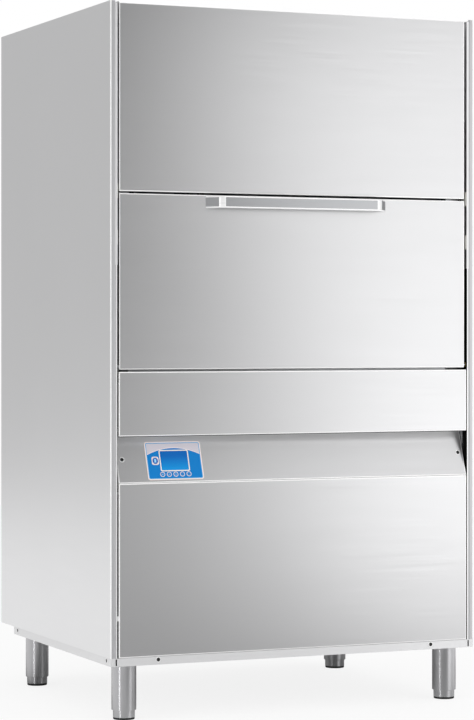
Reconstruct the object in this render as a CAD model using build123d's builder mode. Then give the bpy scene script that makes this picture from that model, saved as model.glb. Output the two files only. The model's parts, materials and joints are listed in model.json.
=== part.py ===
from build123d import *
import math
import os

os.makedirs("parts", exist_ok=True)

# Front-loading utensil washer with a split door. Millimetres, +Z up, front towards -Y.
# The origin is the middle of the whole object's footprint, on the floor.

# Cabinet
width = 1000.0
depth = 850.0
height = 1755.0
sheet = 1.2
leg_height = 136.0
rail_height = 20.0
rail_wall = 2.0
rail_flange = 30.0
rail_setback = 1.0
base_depth = 740.0
angle_width = 40.0
angle_wall = 3.0
post_width = 18.5
post_return = 13.0
rear_return = 20.0
top_drop = 0.3
roof_drop = 1.5
roof_flange = 20.0

# Front panels, from the floor up
seam = 0.5
service_height = 424.0
control_height = 113.8
control_setback = 40.0
control_flange = 18.0
fascia_height = 157.2
panel_side_gap = 2.5
panel_proud = 2.0

# Doors
door_gap = 5.0
door_side_gap = 5.5
door_recess = 4.5
door_thickness = 28.0
door_fold = 26.0
lower_door_height = 430.0
liner_rim = 10.0
liner_side_gap = 0.4
liner_bottom_inset = 10.0
upper_edge_radius = 5.0

# Handle on the lower door
handle_length = 496.0
handle_front = 436.0
handle_height = 30.0
handle_reach = 36.0
handle_bar = 11.0
handle_corner = 20.0
handle_edge = 4.0
handle_drop = 2.5

# Lower door hinge and the lever that lifts the upper door
hinge_inset = 7.5
hinge_pin_diameter = 10.0
hinge_pin_grip = 14.0
bush_wall = 1.5
running_clearance = 0.05
moving_clearance = 0.3
upright_thickness = 8.0
upright_depth = 20.0
crossbar_height = 18.0
crossbar_setback = 2.0
crossbar_drop = 6.0
lever_thickness = 5.0
lever_width = 19.0
lever_side_gap = 0.5
lever_roller_diameter = 20.0
lever_roller_width = 5.0
lever_swing = math.pi / 2

# Upper door guides
channel_wall = 1.5
channel_width = 15.5
channel_depth = 38.8
slide_bar_thickness = 8.0
slide_bar_depth = 12.0
slide_bar_gap = 1.5
slide_bar_inset = 1.5
slide_bar_grip = 200.0
shoe_height = 36.0
shoe_spacing = 130.0
yoke_thickness = 6.0
yoke_wall = 10.0
yoke_play = 10.0
yoke_end_play = 3.0

# Balance springs
spring_diameter = 22.0
spring_wire = 3.0
spring_pin_diameter = 8.0
spring_setback = 83.0
spring_inset = 12.0
anchor_height = 30.0
anchor_thickness = 4.0

# Wash chamber and tank
column_width = 60.0
chamber_wall = 1.5
chamber_floor = 700.0
chamber_top_gap = 18.0
chamber_rear_gap = 30.0
opening_side_inset = 15.0
opening_top_gap = 32.5
flange_drop = 1.5
flange_top_gap = 10.0
gasket_width = 10.0
gasket_inset = 1.5
tank_side_gap = 138.0
tank_front_gap = 105.0
tank_rear_gap = 105.0
tank_depth = 180.0
tank_flange = 14.0
filter_overlap = 10.0
filter_sheet = 1.5
filter_slot_length = 38.0
filter_slot_width = 12.0
filter_pitch_x = 52.0
filter_pitch_y = 44.0

# Overflow and drain
overflow_diameter = 36.0
overflow_wall = 2.0
overflow_top = 28.0
overflow_knob = 46.0
overflow_side_gap = 82.0
overflow_rear_gap = 90.0
drain_diameter = 40.0
drain_wall = 2.0
drain_height = 190.0
drain_stub = 32.0
drain_spigot_diameter = 44.0
drain_bend = 60.0

# Heating element
element_diameter = 9.0
element_x = -160.0
element_half_pitch = 40.0
element_height = 40.0
element_rear_gap = 140.0
element_flange = 110.0
element_bend = 36.0

# Wash pump
pump_x = 0.0
pump_y = -50.0
pump_z = 260.0
motor_diameter = 140.0
motor_length = 190.0
motor_fin = 6.0
motor_fins = 16
motor_gap = 8.0
motor_end_cap = 19.0
motor_foot_inset = 57.0
volute_diameter = 180.0
volute_width = 60.0
volute_wall = 4.0
shaft_diameter = 16.0
impeller_diameter = 120.0
impeller_width = 26.0
impeller_vanes = 6
suction_x = 150.0
hose_diameter = 48.0
hose_wall = 3.0
hose_bend = 60.0
delivery_height = 430.0

# Boiler and water inlet
boiler_side_gap = 4.0
boiler_y = 60.0
boiler_diameter = 200.0
boiler_length = 340.0
boiler_wall = 2.0
boiler_foot = 12.0
boiler_foot_diameter = 30.0
inlet_height = 220.0
inlet_pipe_diameter = 16.0
inlet_thread_diameter = 26.4
inlet_thread_length = 20.0
inlet_neck_diameter = 24.0
inlet_bore = 16.0
valve_size = 44.0
coil_diameter = 34.0
coil_height = 46.0

# Cable gland
gland_x = -370.0
gland_height = 250.0
gland_diameter = 25.0
gland_bore = 16.0
gland_nut = 32.0
gland_dome = 28.8
gland_length = 26.0

# Wash and rinse arms
manifold_x = 0.0
manifold_rear_gap = 50.5
manifold_diameter = 40.0
branch_diameter = 32.0
rinse_x = 60.0
rinse_diameter = 18.0
rinse_branch_diameter = 14.0
rinse_rear_gap = 43.5
rinse_bend = 40.0
rinse_route_height = 600.0
lower_branch = 90.0
upper_branch_drop = 43.5
hub_diameter = 64.0
hub_height = 24.0
hub_gap = 4.0
spindle_diameter = 24.0
arm_clearance = 0.2
arm_radius = 330.0
arm_y = -20.0
wash_arm_width = 40.0
wash_arm_height = 20.0
rinse_arm_width = 22.0
rinse_arm_height = 12.0
rinse_arm_radius = 300.0
arm_hub_diameter = 56.0
arm_gap = 4.0
nut_diameter = 44.0
nut_height = 8.0
nozzle_diameter = 7.0
nozzle_pitch = 62.0
nozzles_a_side = 4

# Rack and its rails
rack_side_gap = 40.0
rack_rear_gap = 94.0
rack_depth = 100.0
rack_wire = 8.0
rack_grid = 60.0
rack_grid_wire = 5.0
rack_front_gap = 26.0
rail_shelf = 46.0
rail_shelf_sheet = 2.0
rail_rise = 18.0
rack_seat_gap = 0.3

# Control overlay, display and keys, measured along the sloping panel
overlay_left = 98.5
overlay_width = 148.0
overlay_height = 97.5
overlay_rise = -5.0
overlay_thickness = 1.0
overlay_corner = 6.0
overlay_rim = 7.5
display_width = 72.0
display_height = 49.0
display_x = 0.6
display_y = 0.1
display_corner = 2.0
key_diameter = 12.8
key_count = 5
key_pitch = 17.4
key_first_x = -34.7
key_y = -34.8
key_proud = 0.4
key_depth = 0.8
key_travel = 0.5
key_gap = 0.2
program_key_width = 18.5
program_key_height = 21.0
program_key_x = -50.0
program_key_y = 0.2
program_key_corner = 5.0
module_depth = 32.0
switch_diameter = 6.0

# Screws
screw_head = 12.0
screw_shank = 6.0
screw_length = 10.0
control_screw_inset = 36.0
rail_screw_inset = 124.5
rail_screw_front = 29.0
rail_screw_rear = 32.0
rail_screw_lift = 12.5

# Legs and feet
leg_diameter = 61.0
leg_bore = 54.6
leg_side_inset = 56.0
leg_front_inset = 56.0
leg_rear_inset = 31.0
leg_nut_height = 8.0
leg_nut_lift = 60.0
foot_step = 23.0
sleeve_diameter = 54.0
sleeve_wall = 3.0
sleeve_chamfer = 0.6
stem_diameter = 16.0
stem_length = 115.0
stem_clearance = 0.2
pad_diameter = 53.0
pad_height = 5.0

# Places that follow from the sizes above
half = width / 2
rail_x = half - rail_setback
inner_x = rail_x - rail_flange
boiler_x = inner_x - boiler_side_gap - boiler_diameter / 2
front_reach = handle_reach - door_recess
footprint_shift = (front_reach - drain_stub) / 2
front = footprint_shift - depth / 2
rear = footprint_shift + depth / 2
rail_top = leg_height + rail_height
service_bottom = rail_top + seam
service_top = service_bottom + service_height
control_bottom = service_top + seam
control_top = control_bottom + control_height
fascia_bottom = control_top + seam
fascia_top = fascia_bottom + fascia_height
lower_door_bottom = fascia_top + door_gap
lower_door_top = lower_door_bottom + lower_door_height
upper_door_bottom = lower_door_top + door_gap
upper_door_top = height - top_drop
door_lift = lower_door_height

strip_x = half - post_width
strip_y = front + sheet
door_half = strip_x - door_side_gap
panel_half = strip_x - panel_side_gap
panel_face = front - panel_proud
control_top_y = panel_face + control_setback
upright_front = control_top_y + control_flange + seam
base_back = front + base_depth
door_face = front + door_recess
door_back = door_face + door_thickness
hinge_y = door_face + hinge_inset
hinge_z = lower_door_bottom + hinge_inset

upright_back = strip_y + upright_depth
channel_back = strip_y + channel_depth
bar_inner = strip_x - slide_bar_inset
bar_outer = bar_inner + slide_bar_thickness
bar_front = upright_back + slide_bar_gap
bar_back = bar_front + slide_bar_depth
lever_inner = strip_x + upright_thickness + lever_side_gap
lever_outer = lever_inner + lever_thickness
lever_length = door_lift / (2 * math.sin(lever_swing / 2))
lever_rest_y = hinge_y + lever_length * math.cos(lever_swing / 2)
lever_rest_z = hinge_z - lever_length * math.sin(lever_swing / 2)
yoke_inner = (bar_inner + bar_outer - yoke_thickness) / 2
yoke_outer = yoke_inner + yoke_thickness
slot_front = lever_rest_y - lever_roller_diameter / 2 - yoke_end_play
slot_back = hinge_y + lever_length + lever_roller_diameter / 2 + yoke_end_play
slot_half_height = lever_roller_diameter / 2 + yoke_play
yoke_half_height = slot_half_height + yoke_wall
channel_bottom = lever_rest_z + door_lift + yoke_half_height + yoke_end_play
shoe_low = max(upper_door_bottom - shoe_spacing, channel_bottom + yoke_end_play)

chamber_half = half - column_width
chamber_front = channel_back
chamber_back = rear - chamber_rear_gap
chamber_top = height - chamber_top_gap
shelf_level = hinge_z + door_back - hinge_y
opening_half = chamber_half - opening_side_inset
opening_bottom = shelf_level
opening_top = upper_door_bottom + door_lift - opening_top_gap
flange_front = chamber_front - chamber_wall
gasket_front = door_back + moving_clearance
tank_front = chamber_front + tank_front_gap
tank_back = chamber_back - tank_rear_gap
tank_half_width = chamber_half - tank_side_gap
overflow_x = tank_half_width - overflow_side_gap
overflow_y = tank_back - overflow_rear_gap
tank_bottom = chamber_floor - tank_depth
manifold_y = chamber_back - manifold_rear_gap
rinse_y = chamber_back - rinse_rear_gap
lower_branch_z = chamber_floor + lower_branch
upper_branch_z = chamber_top - upper_branch_drop
lower_hub_top = lower_branch_z + branch_diameter / 2 + hub_height
upper_hub_bottom = upper_branch_z - branch_diameter / 2 - hub_height
rack_floor = opening_bottom + rail_rise + rail_shelf_sheet + rack_seat_gap
rack_width = 2 * (chamber_half - rack_side_gap)
rack_front = chamber_front + rack_front_gap
rack_length = chamber_back - rack_rear_gap - rack_front
spring_x = chamber_half + column_width / 2 - spring_inset
spring_y = bar_back + spring_setback - slide_bar_depth
spring_pin_z = lever_rest_z + yoke_half_height - yoke_wall / 2 - spring_pin_diameter / 2
spring_bottom = spring_pin_z + spring_pin_diameter / 2 + moving_clearance
roof_top = height - roof_drop
spring_top = roof_top - sheet - anchor_height

slope = math.atan2(control_setback, control_height)
control_plane = Plane(
    origin=(0, (panel_face + control_top_y) / 2, (control_bottom + control_top) / 2),
    x_dir=(1, 0, 0),
    z_dir=(0, -math.cos(slope), math.sin(slope)),
)
overlay_x = overlay_left + overlay_width / 2 - half
overlay_place = (overlay_x, overlay_rise)
key_line = overlay_rise + key_y
key_places = [(overlay_x + key_first_x + i * key_pitch, key_line) for i in range(key_count)]
program_key_place = (overlay_x + program_key_x, overlay_rise + program_key_y)
display_place = (overlay_x + display_x, overlay_rise + display_y)
leg_places = {
    "front_left": (leg_side_inset - half, front + leg_front_inset),
    "front_right": (half - leg_side_inset, front + leg_front_inset),
    "rear_left": (leg_side_inset - half, front + base_depth - leg_rear_inset),
    "rear_right": (half - leg_side_inset, front + base_depth - leg_rear_inset),
}


def block(x, y, z, mode=Mode.ADD):
    """Add or cut a block that spans the given limits on each axis."""
    with Locations(((x[0] + x[1]) / 2, (y[0] + y[1]) / 2, (z[0] + z[1]) / 2)):
        Box(x[1] - x[0], y[1] - y[0], z[1] - z[0], mode=mode)


def rod(diameter, start, direction, length, mode=Mode.ADD):
    """Add or cut a round bar that leaves a point along a direction."""
    with Locations(Plane(origin=start, z_dir=direction)):
        Cylinder(diameter / 2, length, align=(Align.CENTER, Align.CENTER, Align.MIN), mode=mode)


# Base frame: a ring of channel rails with a drip tray, and the angle uprights of the wash chamber
with BuildPart() as base_frame:
    block((-rail_x, rail_x), (front, base_back), (leg_height, rail_top))
    block((-inner_x, inner_x), (front + rail_flange, base_back - rail_flange),
          (leg_height + rail_wall, rail_top), Mode.SUBTRACT)
    block((rail_wall - rail_x, rail_x - rail_wall), (front + rail_wall, base_back - rail_wall),
          (leg_height + rail_wall, rail_top - rail_wall), Mode.SUBTRACT)
    for side in (-1, 1):
        slot_x = side * (half - post_return - rail_wall)
        block((slot_x - rail_wall, slot_x + rail_wall), (front - seam, front + rail_wall),
              (leg_height + rail_wall, rail_top - rail_wall), Mode.SUBTRACT)
    screw_z = leg_height + rail_screw_lift
    for side in (-1, 1):
        rod(screw_shank, (side * (half - rail_screw_inset), front - seam, screw_z), (0, 1, 0),
            rail_wall + seam, Mode.SUBTRACT)
        for screw_y in (front + rail_screw_front, base_back - rail_screw_rear):
            rod(screw_shank, (side * half, screw_y, screw_z), (-side, 0, 0),
                rail_setback + rail_wall, Mode.SUBTRACT)
    leg_foot = leg_height + rail_wall
    for side in (-1, 1):
        outer = side * (chamber_half - chamber_wall)
        inner = outer - side * angle_width
        for corner_y, toward in ((upright_front, 1), (base_back - rail_flange, -1)):
            far_y = corner_y + toward * angle_width
            block(sorted((outer, inner)), sorted((corner_y, corner_y + toward * angle_wall)),
                  (leg_foot, chamber_floor))
            block(sorted((outer, outer - side * angle_wall)), sorted((corner_y, far_y)),
                  (leg_foot, chamber_floor))
base_frame.part.label = "base_frame"
export_step(base_frame.part, "parts/base_frame.step")

# Four leg tubes, each with a nut plate inside for the foot's screw
with BuildPart() as leg_tubes:
    for leg_x, leg_y in leg_places.values():
        rod(leg_diameter, (leg_x, leg_y, foot_step), (0, 0, 1), leg_height - foot_step)
    for leg_x, leg_y in leg_places.values():
        rod(leg_bore, (leg_x, leg_y, foot_step), (0, 0, 1), leg_nut_lift - foot_step, Mode.SUBTRACT)
        nut_top = leg_nut_lift + leg_nut_height
        rod(leg_bore, (leg_x, leg_y, nut_top), (0, 0, 1), leg_height - nut_top, Mode.SUBTRACT)
        rod(stem_diameter + 2 * stem_clearance, (leg_x, leg_y, leg_nut_lift), (0, 0, 1),
            leg_nut_height, Mode.SUBTRACT)
leg_tubes.part.label = "leg_tubes"
export_step(leg_tubes.part, "parts/leg_tubes.step")

# Adjustable feet: a steel sleeve on a screwed stem, over a rubber pad
for corner, (leg_x, leg_y) in leg_places.items():
    with BuildPart() as foot_sleeve:
        sleeve_top = leg_nut_lift - moving_clearance
        rod(sleeve_diameter, (leg_x, leg_y, pad_height), (0, 0, 1), sleeve_top - pad_height)
        rod(sleeve_diameter - 2 * sleeve_wall, (leg_x, leg_y, pad_height + sleeve_wall), (0, 0, 1),
            sleeve_top - pad_height - sleeve_wall, Mode.SUBTRACT)
        rod(stem_diameter, (leg_x, leg_y, pad_height), (0, 0, 1), stem_length)
        bottom_edges = foot_sleeve.edges().filter_by(GeomType.CIRCLE).group_by(Axis.Z)[0]
        chamfer(bottom_edges, sleeve_chamfer)
    foot_sleeve.part.label = f"foot_sleeve_{corner}"
    export_step(foot_sleeve.part, f"parts/foot_sleeve_{corner}.step")

    with BuildPart() as foot_pad:
        rod(pad_diameter, (leg_x, leg_y, 0), (0, 0, 1), pad_height)
        fillet(foot_pad.edges().group_by(Axis.Z)[0], pad_height / 4)
    foot_pad.part.label = f"foot_pad_{corner}"
    export_step(foot_pad.part, f"parts/foot_pad_{corner}.step")

# Side panels: one folded sheet each, whose front return is the face of the post
with BuildPart() as side_panel_right:
    with BuildSketch(Plane.XY.offset(rail_top)):
        with BuildLine():
            Polyline(
                (half - rear_return, rear),
                (half, rear),
                (half, front),
                (half - post_return, front),
            )
            offset(amount=sheet, side=Side.RIGHT)
        make_face()
    extrude(amount=height - rail_top)
side_panel_right.part.label = "side_panel_right"
export_step(side_panel_right.part, "parts/side_panel_right.step")

with BuildPart() as side_panel_left:
    mirror(side_panel_right.part, about=Plane.YZ)
side_panel_left.part.label = "side_panel_left"
export_step(side_panel_left.part, "parts/side_panel_left.step")

# Front subframe: two hinge uprights and the crossbars that the front panels close on
with BuildPart() as front_subframe:
    for side in (-1, 1):
        x_span = sorted((side * strip_x, side * (strip_x + upright_thickness)))
        block(x_span, (strip_y, upright_back), (rail_top, channel_bottom))
    crossbar_bottoms = (
        fascia_top - 2 * sheet - crossbar_drop - crossbar_height,
        fascia_bottom + 2 * sheet,
        service_top - 2 * sheet - crossbar_height,
    )
    for crossbar_bottom in crossbar_bottoms:
        block((-strip_x, strip_x), (strip_y, upright_back - crossbar_setback),
              (crossbar_bottom, crossbar_bottom + crossbar_height))
    for side in (-1, 1):
        rod(hinge_pin_diameter + 2 * bush_wall, (side * strip_x, hinge_y, hinge_z), (side, 0, 0),
            upright_thickness, Mode.SUBTRACT)
front_subframe.part.label = "front_subframe"
export_step(front_subframe.part, "parts/front_subframe.step")

# Plain bushes in the uprights for the lower door's pins
with BuildPart() as hinge_bushes:
    for side in (-1, 1):
        start = (side * strip_x, hinge_y, hinge_z)
        rod(hinge_pin_diameter + 2 * bush_wall, start, (side, 0, 0), upright_thickness)
        rod(hinge_pin_diameter + 2 * running_clearance, start, (side, 0, 0), upright_thickness,
            Mode.SUBTRACT)
hinge_bushes.part.label = "hinge_bushes"
export_step(hinge_bushes.part, "parts/hinge_bushes.step")

# Guide channels for the upper door, above the uprights
with BuildPart() as guide_channels:
    with BuildSketch(Plane.XY.offset(channel_bottom)):
        with BuildLine():
            Polyline(
                (strip_x, strip_y),
                (strip_x + channel_width, strip_y),
                (strip_x + channel_width, channel_back),
                (strip_x, channel_back),
            )
            offset(amount=channel_wall, side=Side.LEFT)
        make_face()
        mirror(about=Plane.YZ)
    extrude(amount=height - channel_bottom - door_gap)
guide_channels.part.label = "guide_channels"
export_step(guide_channels.part, "parts/guide_channels.step")

# Rear panel, inside the side panels' rear returns
with BuildPart() as rear_panel:
    block((sheet - half, half - sheet), (rear - 2 * sheet, rear - sheet), (rail_top, height - door_gap))
    hole_start = rear - 3 * sheet
    rod(drain_diameter + 2 * seam, (overflow_x, hole_start, drain_height), (0, 1, 0), 3 * sheet,
        Mode.SUBTRACT)
    rod(inlet_neck_diameter + 2 * seam, (boiler_x, hole_start, inlet_height), (0, 1, 0), 3 * sheet,
        Mode.SUBTRACT)
    rod(gland_diameter + 2 * seam, (gland_x, hole_start, gland_height), (0, 1, 0), 3 * sheet,
        Mode.SUBTRACT)
rear_panel.part.label = "rear_panel"
export_step(rear_panel.part, "parts/rear_panel.step")

# Roof panel behind the upper door, with an anchor tab for each balance spring
with BuildPart() as roof_panel:
    roof_front = channel_back - 2 * channel_wall
    roof_back = rear - 2 * sheet
    roof_half = half - sheet - moving_clearance
    notch_x = strip_x - door_side_gap
    block((-roof_half, roof_half), (channel_back, roof_back), (roof_top - sheet, roof_top))
    block((-notch_x, notch_x), (roof_front, channel_back), (roof_top - sheet, roof_top))
    block((-notch_x, notch_x), (roof_front, roof_front + sheet), (roof_top - roof_flange / 2, roof_top))
    block((-roof_half, roof_half), (roof_back - sheet, roof_back), (height - door_gap, roof_top))
    for side in (-1, 1):
        x_span = sorted((side * (spring_x - spring_diameter / 2), side * (spring_x + spring_diameter / 2)))
        block(x_span, (spring_y - anchor_thickness / 2, spring_y + anchor_thickness / 2),
              (spring_top, roof_top - sheet))
roof_panel.part.label = "roof_panel"
export_step(roof_panel.part, "parts/roof_panel.step")

# Fascia between the lower door and the control panel
with BuildPart() as fascia_panel:
    with BuildSketch(Plane.YZ):
        with BuildLine():
            Polyline(
                (strip_y, fascia_top),
                (panel_face, fascia_top),
                (panel_face, fascia_bottom),
                (control_top_y, fascia_bottom),
            )
            offset(amount=sheet, side=Side.LEFT)
        make_face()
    extrude(amount=panel_half, both=True)
fascia_panel.part.label = "fascia_panel"
export_step(fascia_panel.part, "parts/fascia_panel.step")

# Control panel: slopes back towards its top, with a window behind the overlay
with BuildPart() as control_panel:
    with BuildSketch(Plane.YZ):
        with BuildLine():
            Polyline(
                (panel_face + control_flange, control_bottom),
                (panel_face, control_bottom),
                (control_top_y, control_top),
                (control_top_y + control_flange, control_top),
            )
            offset(amount=sheet, side=Side.RIGHT)
        make_face()
    extrude(amount=panel_half, both=True)
    with BuildSketch(control_plane):
        with Locations(overlay_place):
            Rectangle(overlay_width - 2 * overlay_rim, overlay_height - 2 * overlay_rim)
    extrude(amount=-2 * sheet, mode=Mode.SUBTRACT)
    screw_x = half - control_screw_inset
    with BuildSketch(control_plane):
        with Locations((-screw_x, 0), (screw_x, 0)):
            Circle(screw_shank / 2)
    extrude(amount=-2 * sheet, mode=Mode.SUBTRACT)
control_panel.part.label = "control_panel"
export_step(control_panel.part, "parts/control_panel.step")

# Service panel over the machine compartment
with BuildPart() as service_panel:
    with BuildSketch(Plane.YZ):
        with BuildLine():
            Polyline(
                (strip_y, service_top),
                (panel_face, service_top),
                (panel_face, service_bottom),
                (strip_y, service_bottom),
            )
            offset(amount=sheet, side=Side.LEFT)
        make_face()
    extrude(amount=panel_half, both=True)
service_panel.part.label = "service_panel"
export_step(service_panel.part, "parts/service_panel.step")

# Screws: two on the control panel, two on the front rail and two on each side rail
with BuildPart() as panel_screws:
    screw_sites = [control_plane * Plane(origin=(x, 0, 0)) for x in (-screw_x, screw_x)]
    for side in (-1, 1):
        place = (side * (half - rail_screw_inset), front, screw_z)
        screw_sites.append(Plane(origin=place, z_dir=(0, -1, 0)))
        for screw_y in (front + rail_screw_front, base_back - rail_screw_rear):
            place = (side * rail_x, screw_y, screw_z)
            screw_sites.append(Plane(origin=place, z_dir=(side, 0, 0)))
    for site in screw_sites:
        with Locations(site):
            Cone(screw_head / 2, screw_shank / 2, rail_setback,
                 align=(Align.CENTER, Align.CENTER, Align.MIN))
            Cylinder(screw_shank / 2, screw_length, align=(Align.CENTER, Align.CENTER, Align.MAX))
            Cylinder(screw_shank / 3, rail_setback, align=(Align.CENTER, Align.CENTER, Align.MIN),
                     mode=Mode.SUBTRACT)
panel_screws.part.label = "panel_screws"
export_step(panel_screws.part, "parts/panel_screws.step")

# Wash chamber: a box open to the front, with its door flange, the floor cut for the tank and
# an angle rail along each side wall for the rack
with BuildPart() as wash_chamber:
    block((-chamber_half, chamber_half), (chamber_front, chamber_back), (chamber_floor, chamber_top))
    block((chamber_wall - chamber_half, chamber_half - chamber_wall),
          (chamber_front + chamber_wall, chamber_back - chamber_wall),
          (chamber_floor + chamber_wall, chamber_top - chamber_wall), Mode.SUBTRACT)
    block((-door_half, door_half), (flange_front, chamber_front),
          (lower_door_bottom - flange_drop, height - flange_top_gap))
    block((-opening_half, opening_half), (flange_front, chamber_front + chamber_wall),
          (opening_bottom, opening_top), Mode.SUBTRACT)
    tank_inner = tank_half_width - chamber_wall
    block((-tank_inner, tank_inner), (tank_front + chamber_wall, tank_back - chamber_wall),
          (chamber_floor, chamber_floor + chamber_wall), Mode.SUBTRACT)
    rod(manifold_diameter, (manifold_x, manifold_y, chamber_floor), (0, 0, 1), chamber_wall,
        Mode.SUBTRACT)
    rod(rinse_diameter, (rinse_x, rinse_y, chamber_floor), (0, 0, 1), chamber_wall, Mode.SUBTRACT)
    rail_out = chamber_half - chamber_wall
    rail_span = (chamber_front + 2 * chamber_wall, chamber_back - 2 * chamber_wall)
    shelf_z = opening_bottom + rail_rise
    for side in (-1, 1):
        block(sorted((side * rail_out, side * (rail_out - rail_shelf))), rail_span,
              (shelf_z, shelf_z + rail_shelf_sheet))
        block(sorted((side * rail_out, side * (rail_out - rail_shelf_sheet))), rail_span,
              (opening_bottom, shelf_z + rail_rise))
wash_chamber.part.label = "wash_chamber"
export_step(wash_chamber.part, "parts/wash_chamber.step")

# Rubber seal round the opening
with BuildPart() as door_gasket:
    seal_in = opening_half + gasket_inset
    seal_out = seal_in + gasket_width
    seal_low = opening_bottom - gasket_inset
    seal_high = opening_top + gasket_inset
    block((-seal_out, seal_out), (gasket_front, flange_front),
          (seal_low - gasket_width, seal_high + gasket_width))
    block((-seal_in, seal_in), (gasket_front, flange_front), (seal_low, seal_high), Mode.SUBTRACT)
door_gasket.part.label = "door_gasket"
export_step(door_gasket.part, "parts/door_gasket.step")

# Wash tank under the chamber floor
with BuildPart() as wash_tank:
    block((-tank_half_width, tank_half_width), (tank_front, tank_back), (tank_bottom, chamber_floor))
    flange_z = chamber_floor - chamber_wall
    block((-tank_half_width - tank_flange, tank_half_width + tank_flange),
          (tank_front - tank_flange, tank_back + tank_flange), (flange_z, chamber_floor))
    block((-tank_inner, tank_inner), (tank_front + chamber_wall, tank_back - chamber_wall),
          (tank_bottom + chamber_wall, chamber_floor), Mode.SUBTRACT)
    rod(hose_diameter - 2 * hose_wall, (suction_x, pump_y, tank_bottom), (0, 0, 1), chamber_wall,
        Mode.SUBTRACT)
    rod(drain_diameter - 2 * drain_wall, (overflow_x, overflow_y, tank_bottom), (0, 0, 1),
        chamber_wall, Mode.SUBTRACT)
    element_z = tank_bottom + element_height
    for element_side in (-1, 1):
        rod(element_diameter, (element_x + element_side * element_half_pitch, tank_front, element_z),
            (0, 1, 0), chamber_wall, Mode.SUBTRACT)
wash_tank.part.label = "wash_tank"
export_step(wash_tank.part, "parts/wash_tank.step")

# Slotted filter over the tank's mouth, with a hole round the overflow pipe
with BuildPart() as tank_filter:
    filter_z = chamber_floor + chamber_wall
    filter_half = tank_inner + filter_overlap
    filter_front = tank_front + chamber_wall - filter_overlap
    filter_back = tank_back - chamber_wall + filter_overlap
    block((-filter_half, filter_half), (filter_front, filter_back), (filter_z, filter_z + filter_sheet))
    columns = int(2 * (filter_half - filter_pitch_x) // filter_pitch_x)
    rows = int((filter_back - filter_front - 2 * filter_pitch_y) // filter_pitch_y)
    with BuildSketch(Plane.XY.offset(filter_z)):
        with Locations((0, (filter_front + filter_back) / 2)):
            with GridLocations(filter_pitch_x, filter_pitch_y, columns, rows):
                SlotOverall(filter_slot_length, filter_slot_width)
    extrude(amount=filter_sheet, mode=Mode.SUBTRACT)
    rod(overflow_diameter + 2 * overflow_knob, (overflow_x, overflow_y, filter_z), (0, 0, 1), filter_sheet)
    rod(overflow_diameter + 2 * moving_clearance, (overflow_x, overflow_y, filter_z), (0, 0, 1),
        filter_sheet, Mode.SUBTRACT)
tank_filter.part.label = "tank_filter"
export_step(tank_filter.part, "parts/tank_filter.step")

# Overflow pipe, which lifts out of the drain to empty the tank
with BuildPart() as overflow_pipe:
    pipe_foot = tank_bottom + chamber_wall + moving_clearance
    pipe_length = chamber_floor + overflow_top - pipe_foot
    rod(overflow_diameter, (overflow_x, overflow_y, pipe_foot), (0, 0, 1), pipe_length)
    rod(overflow_diameter - 2 * overflow_wall, (overflow_x, overflow_y, pipe_foot), (0, 0, 1),
        pipe_length, Mode.SUBTRACT)
    rod(overflow_knob, (overflow_x, overflow_y, pipe_foot + pipe_length), (0, 0, 1), 2 * overflow_wall)
    block((overflow_x - overflow_diameter, overflow_x + overflow_diameter),
          (overflow_y - overflow_wall * 2, overflow_y + overflow_wall * 2),
          (pipe_foot + pipe_length - 3 * overflow_wall, pipe_foot + pipe_length - overflow_wall),
          Mode.SUBTRACT)
overflow_pipe.part.label = "overflow_pipe"
export_step(overflow_pipe.part, "parts/overflow_pipe.step")

# Drain pipe from the tank's outlet to the stub at the back
with BuildPart() as drain_pipe:
    with BuildLine() as drain_route:
        FilletPolyline(
            (overflow_x, overflow_y, tank_bottom),
            (overflow_x, overflow_y, drain_height),
            (overflow_x, rear + drain_stub, drain_height),
            radius=drain_bend,
        )
    with BuildSketch(Plane(origin=drain_route.wire() @ 0, z_dir=drain_route.wire() % 0)):
        Circle(drain_diameter / 2)
        Circle(drain_diameter / 2 - drain_wall, mode=Mode.SUBTRACT)
    sweep(path=drain_route.wire())
    rod(drain_spigot_diameter, (overflow_x, rear, drain_height), (0, 1, 0), drain_stub)
    rod(drain_diameter - 2 * drain_wall, (overflow_x, rear, drain_height), (0, 1, 0), drain_stub,
        Mode.SUBTRACT)
drain_pipe.part.label = "drain_pipe"
export_step(drain_pipe.part, "parts/drain_pipe.step")

# Tank heating element: one hairpin tube on a flange outside the tank's front wall
with BuildPart() as heating_element:
    element_left = element_x - element_half_pitch
    element_right = element_x + element_half_pitch
    element_end = tank_back - element_rear_gap
    with BuildLine() as element_route:
        FilletPolyline(
            (element_left, tank_front, element_z),
            (element_left, element_end, element_z),
            (element_right, element_end, element_z),
            (element_right, tank_front, element_z),
            radius=element_bend,
        )
    with BuildSketch(Plane(origin=element_route.wire() @ 0, z_dir=element_route.wire() % 0)):
        Circle(element_diameter / 2)
    sweep(path=element_route.wire())
    block((element_x - element_flange / 2, element_x + element_flange / 2),
          (tank_front - 3 * chamber_wall, tank_front),
          (element_z - element_height / 2, element_z + element_height / 2))
heating_element.part.label = "heating_element"
export_step(heating_element.part, "parts/heating_element.step")

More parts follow.
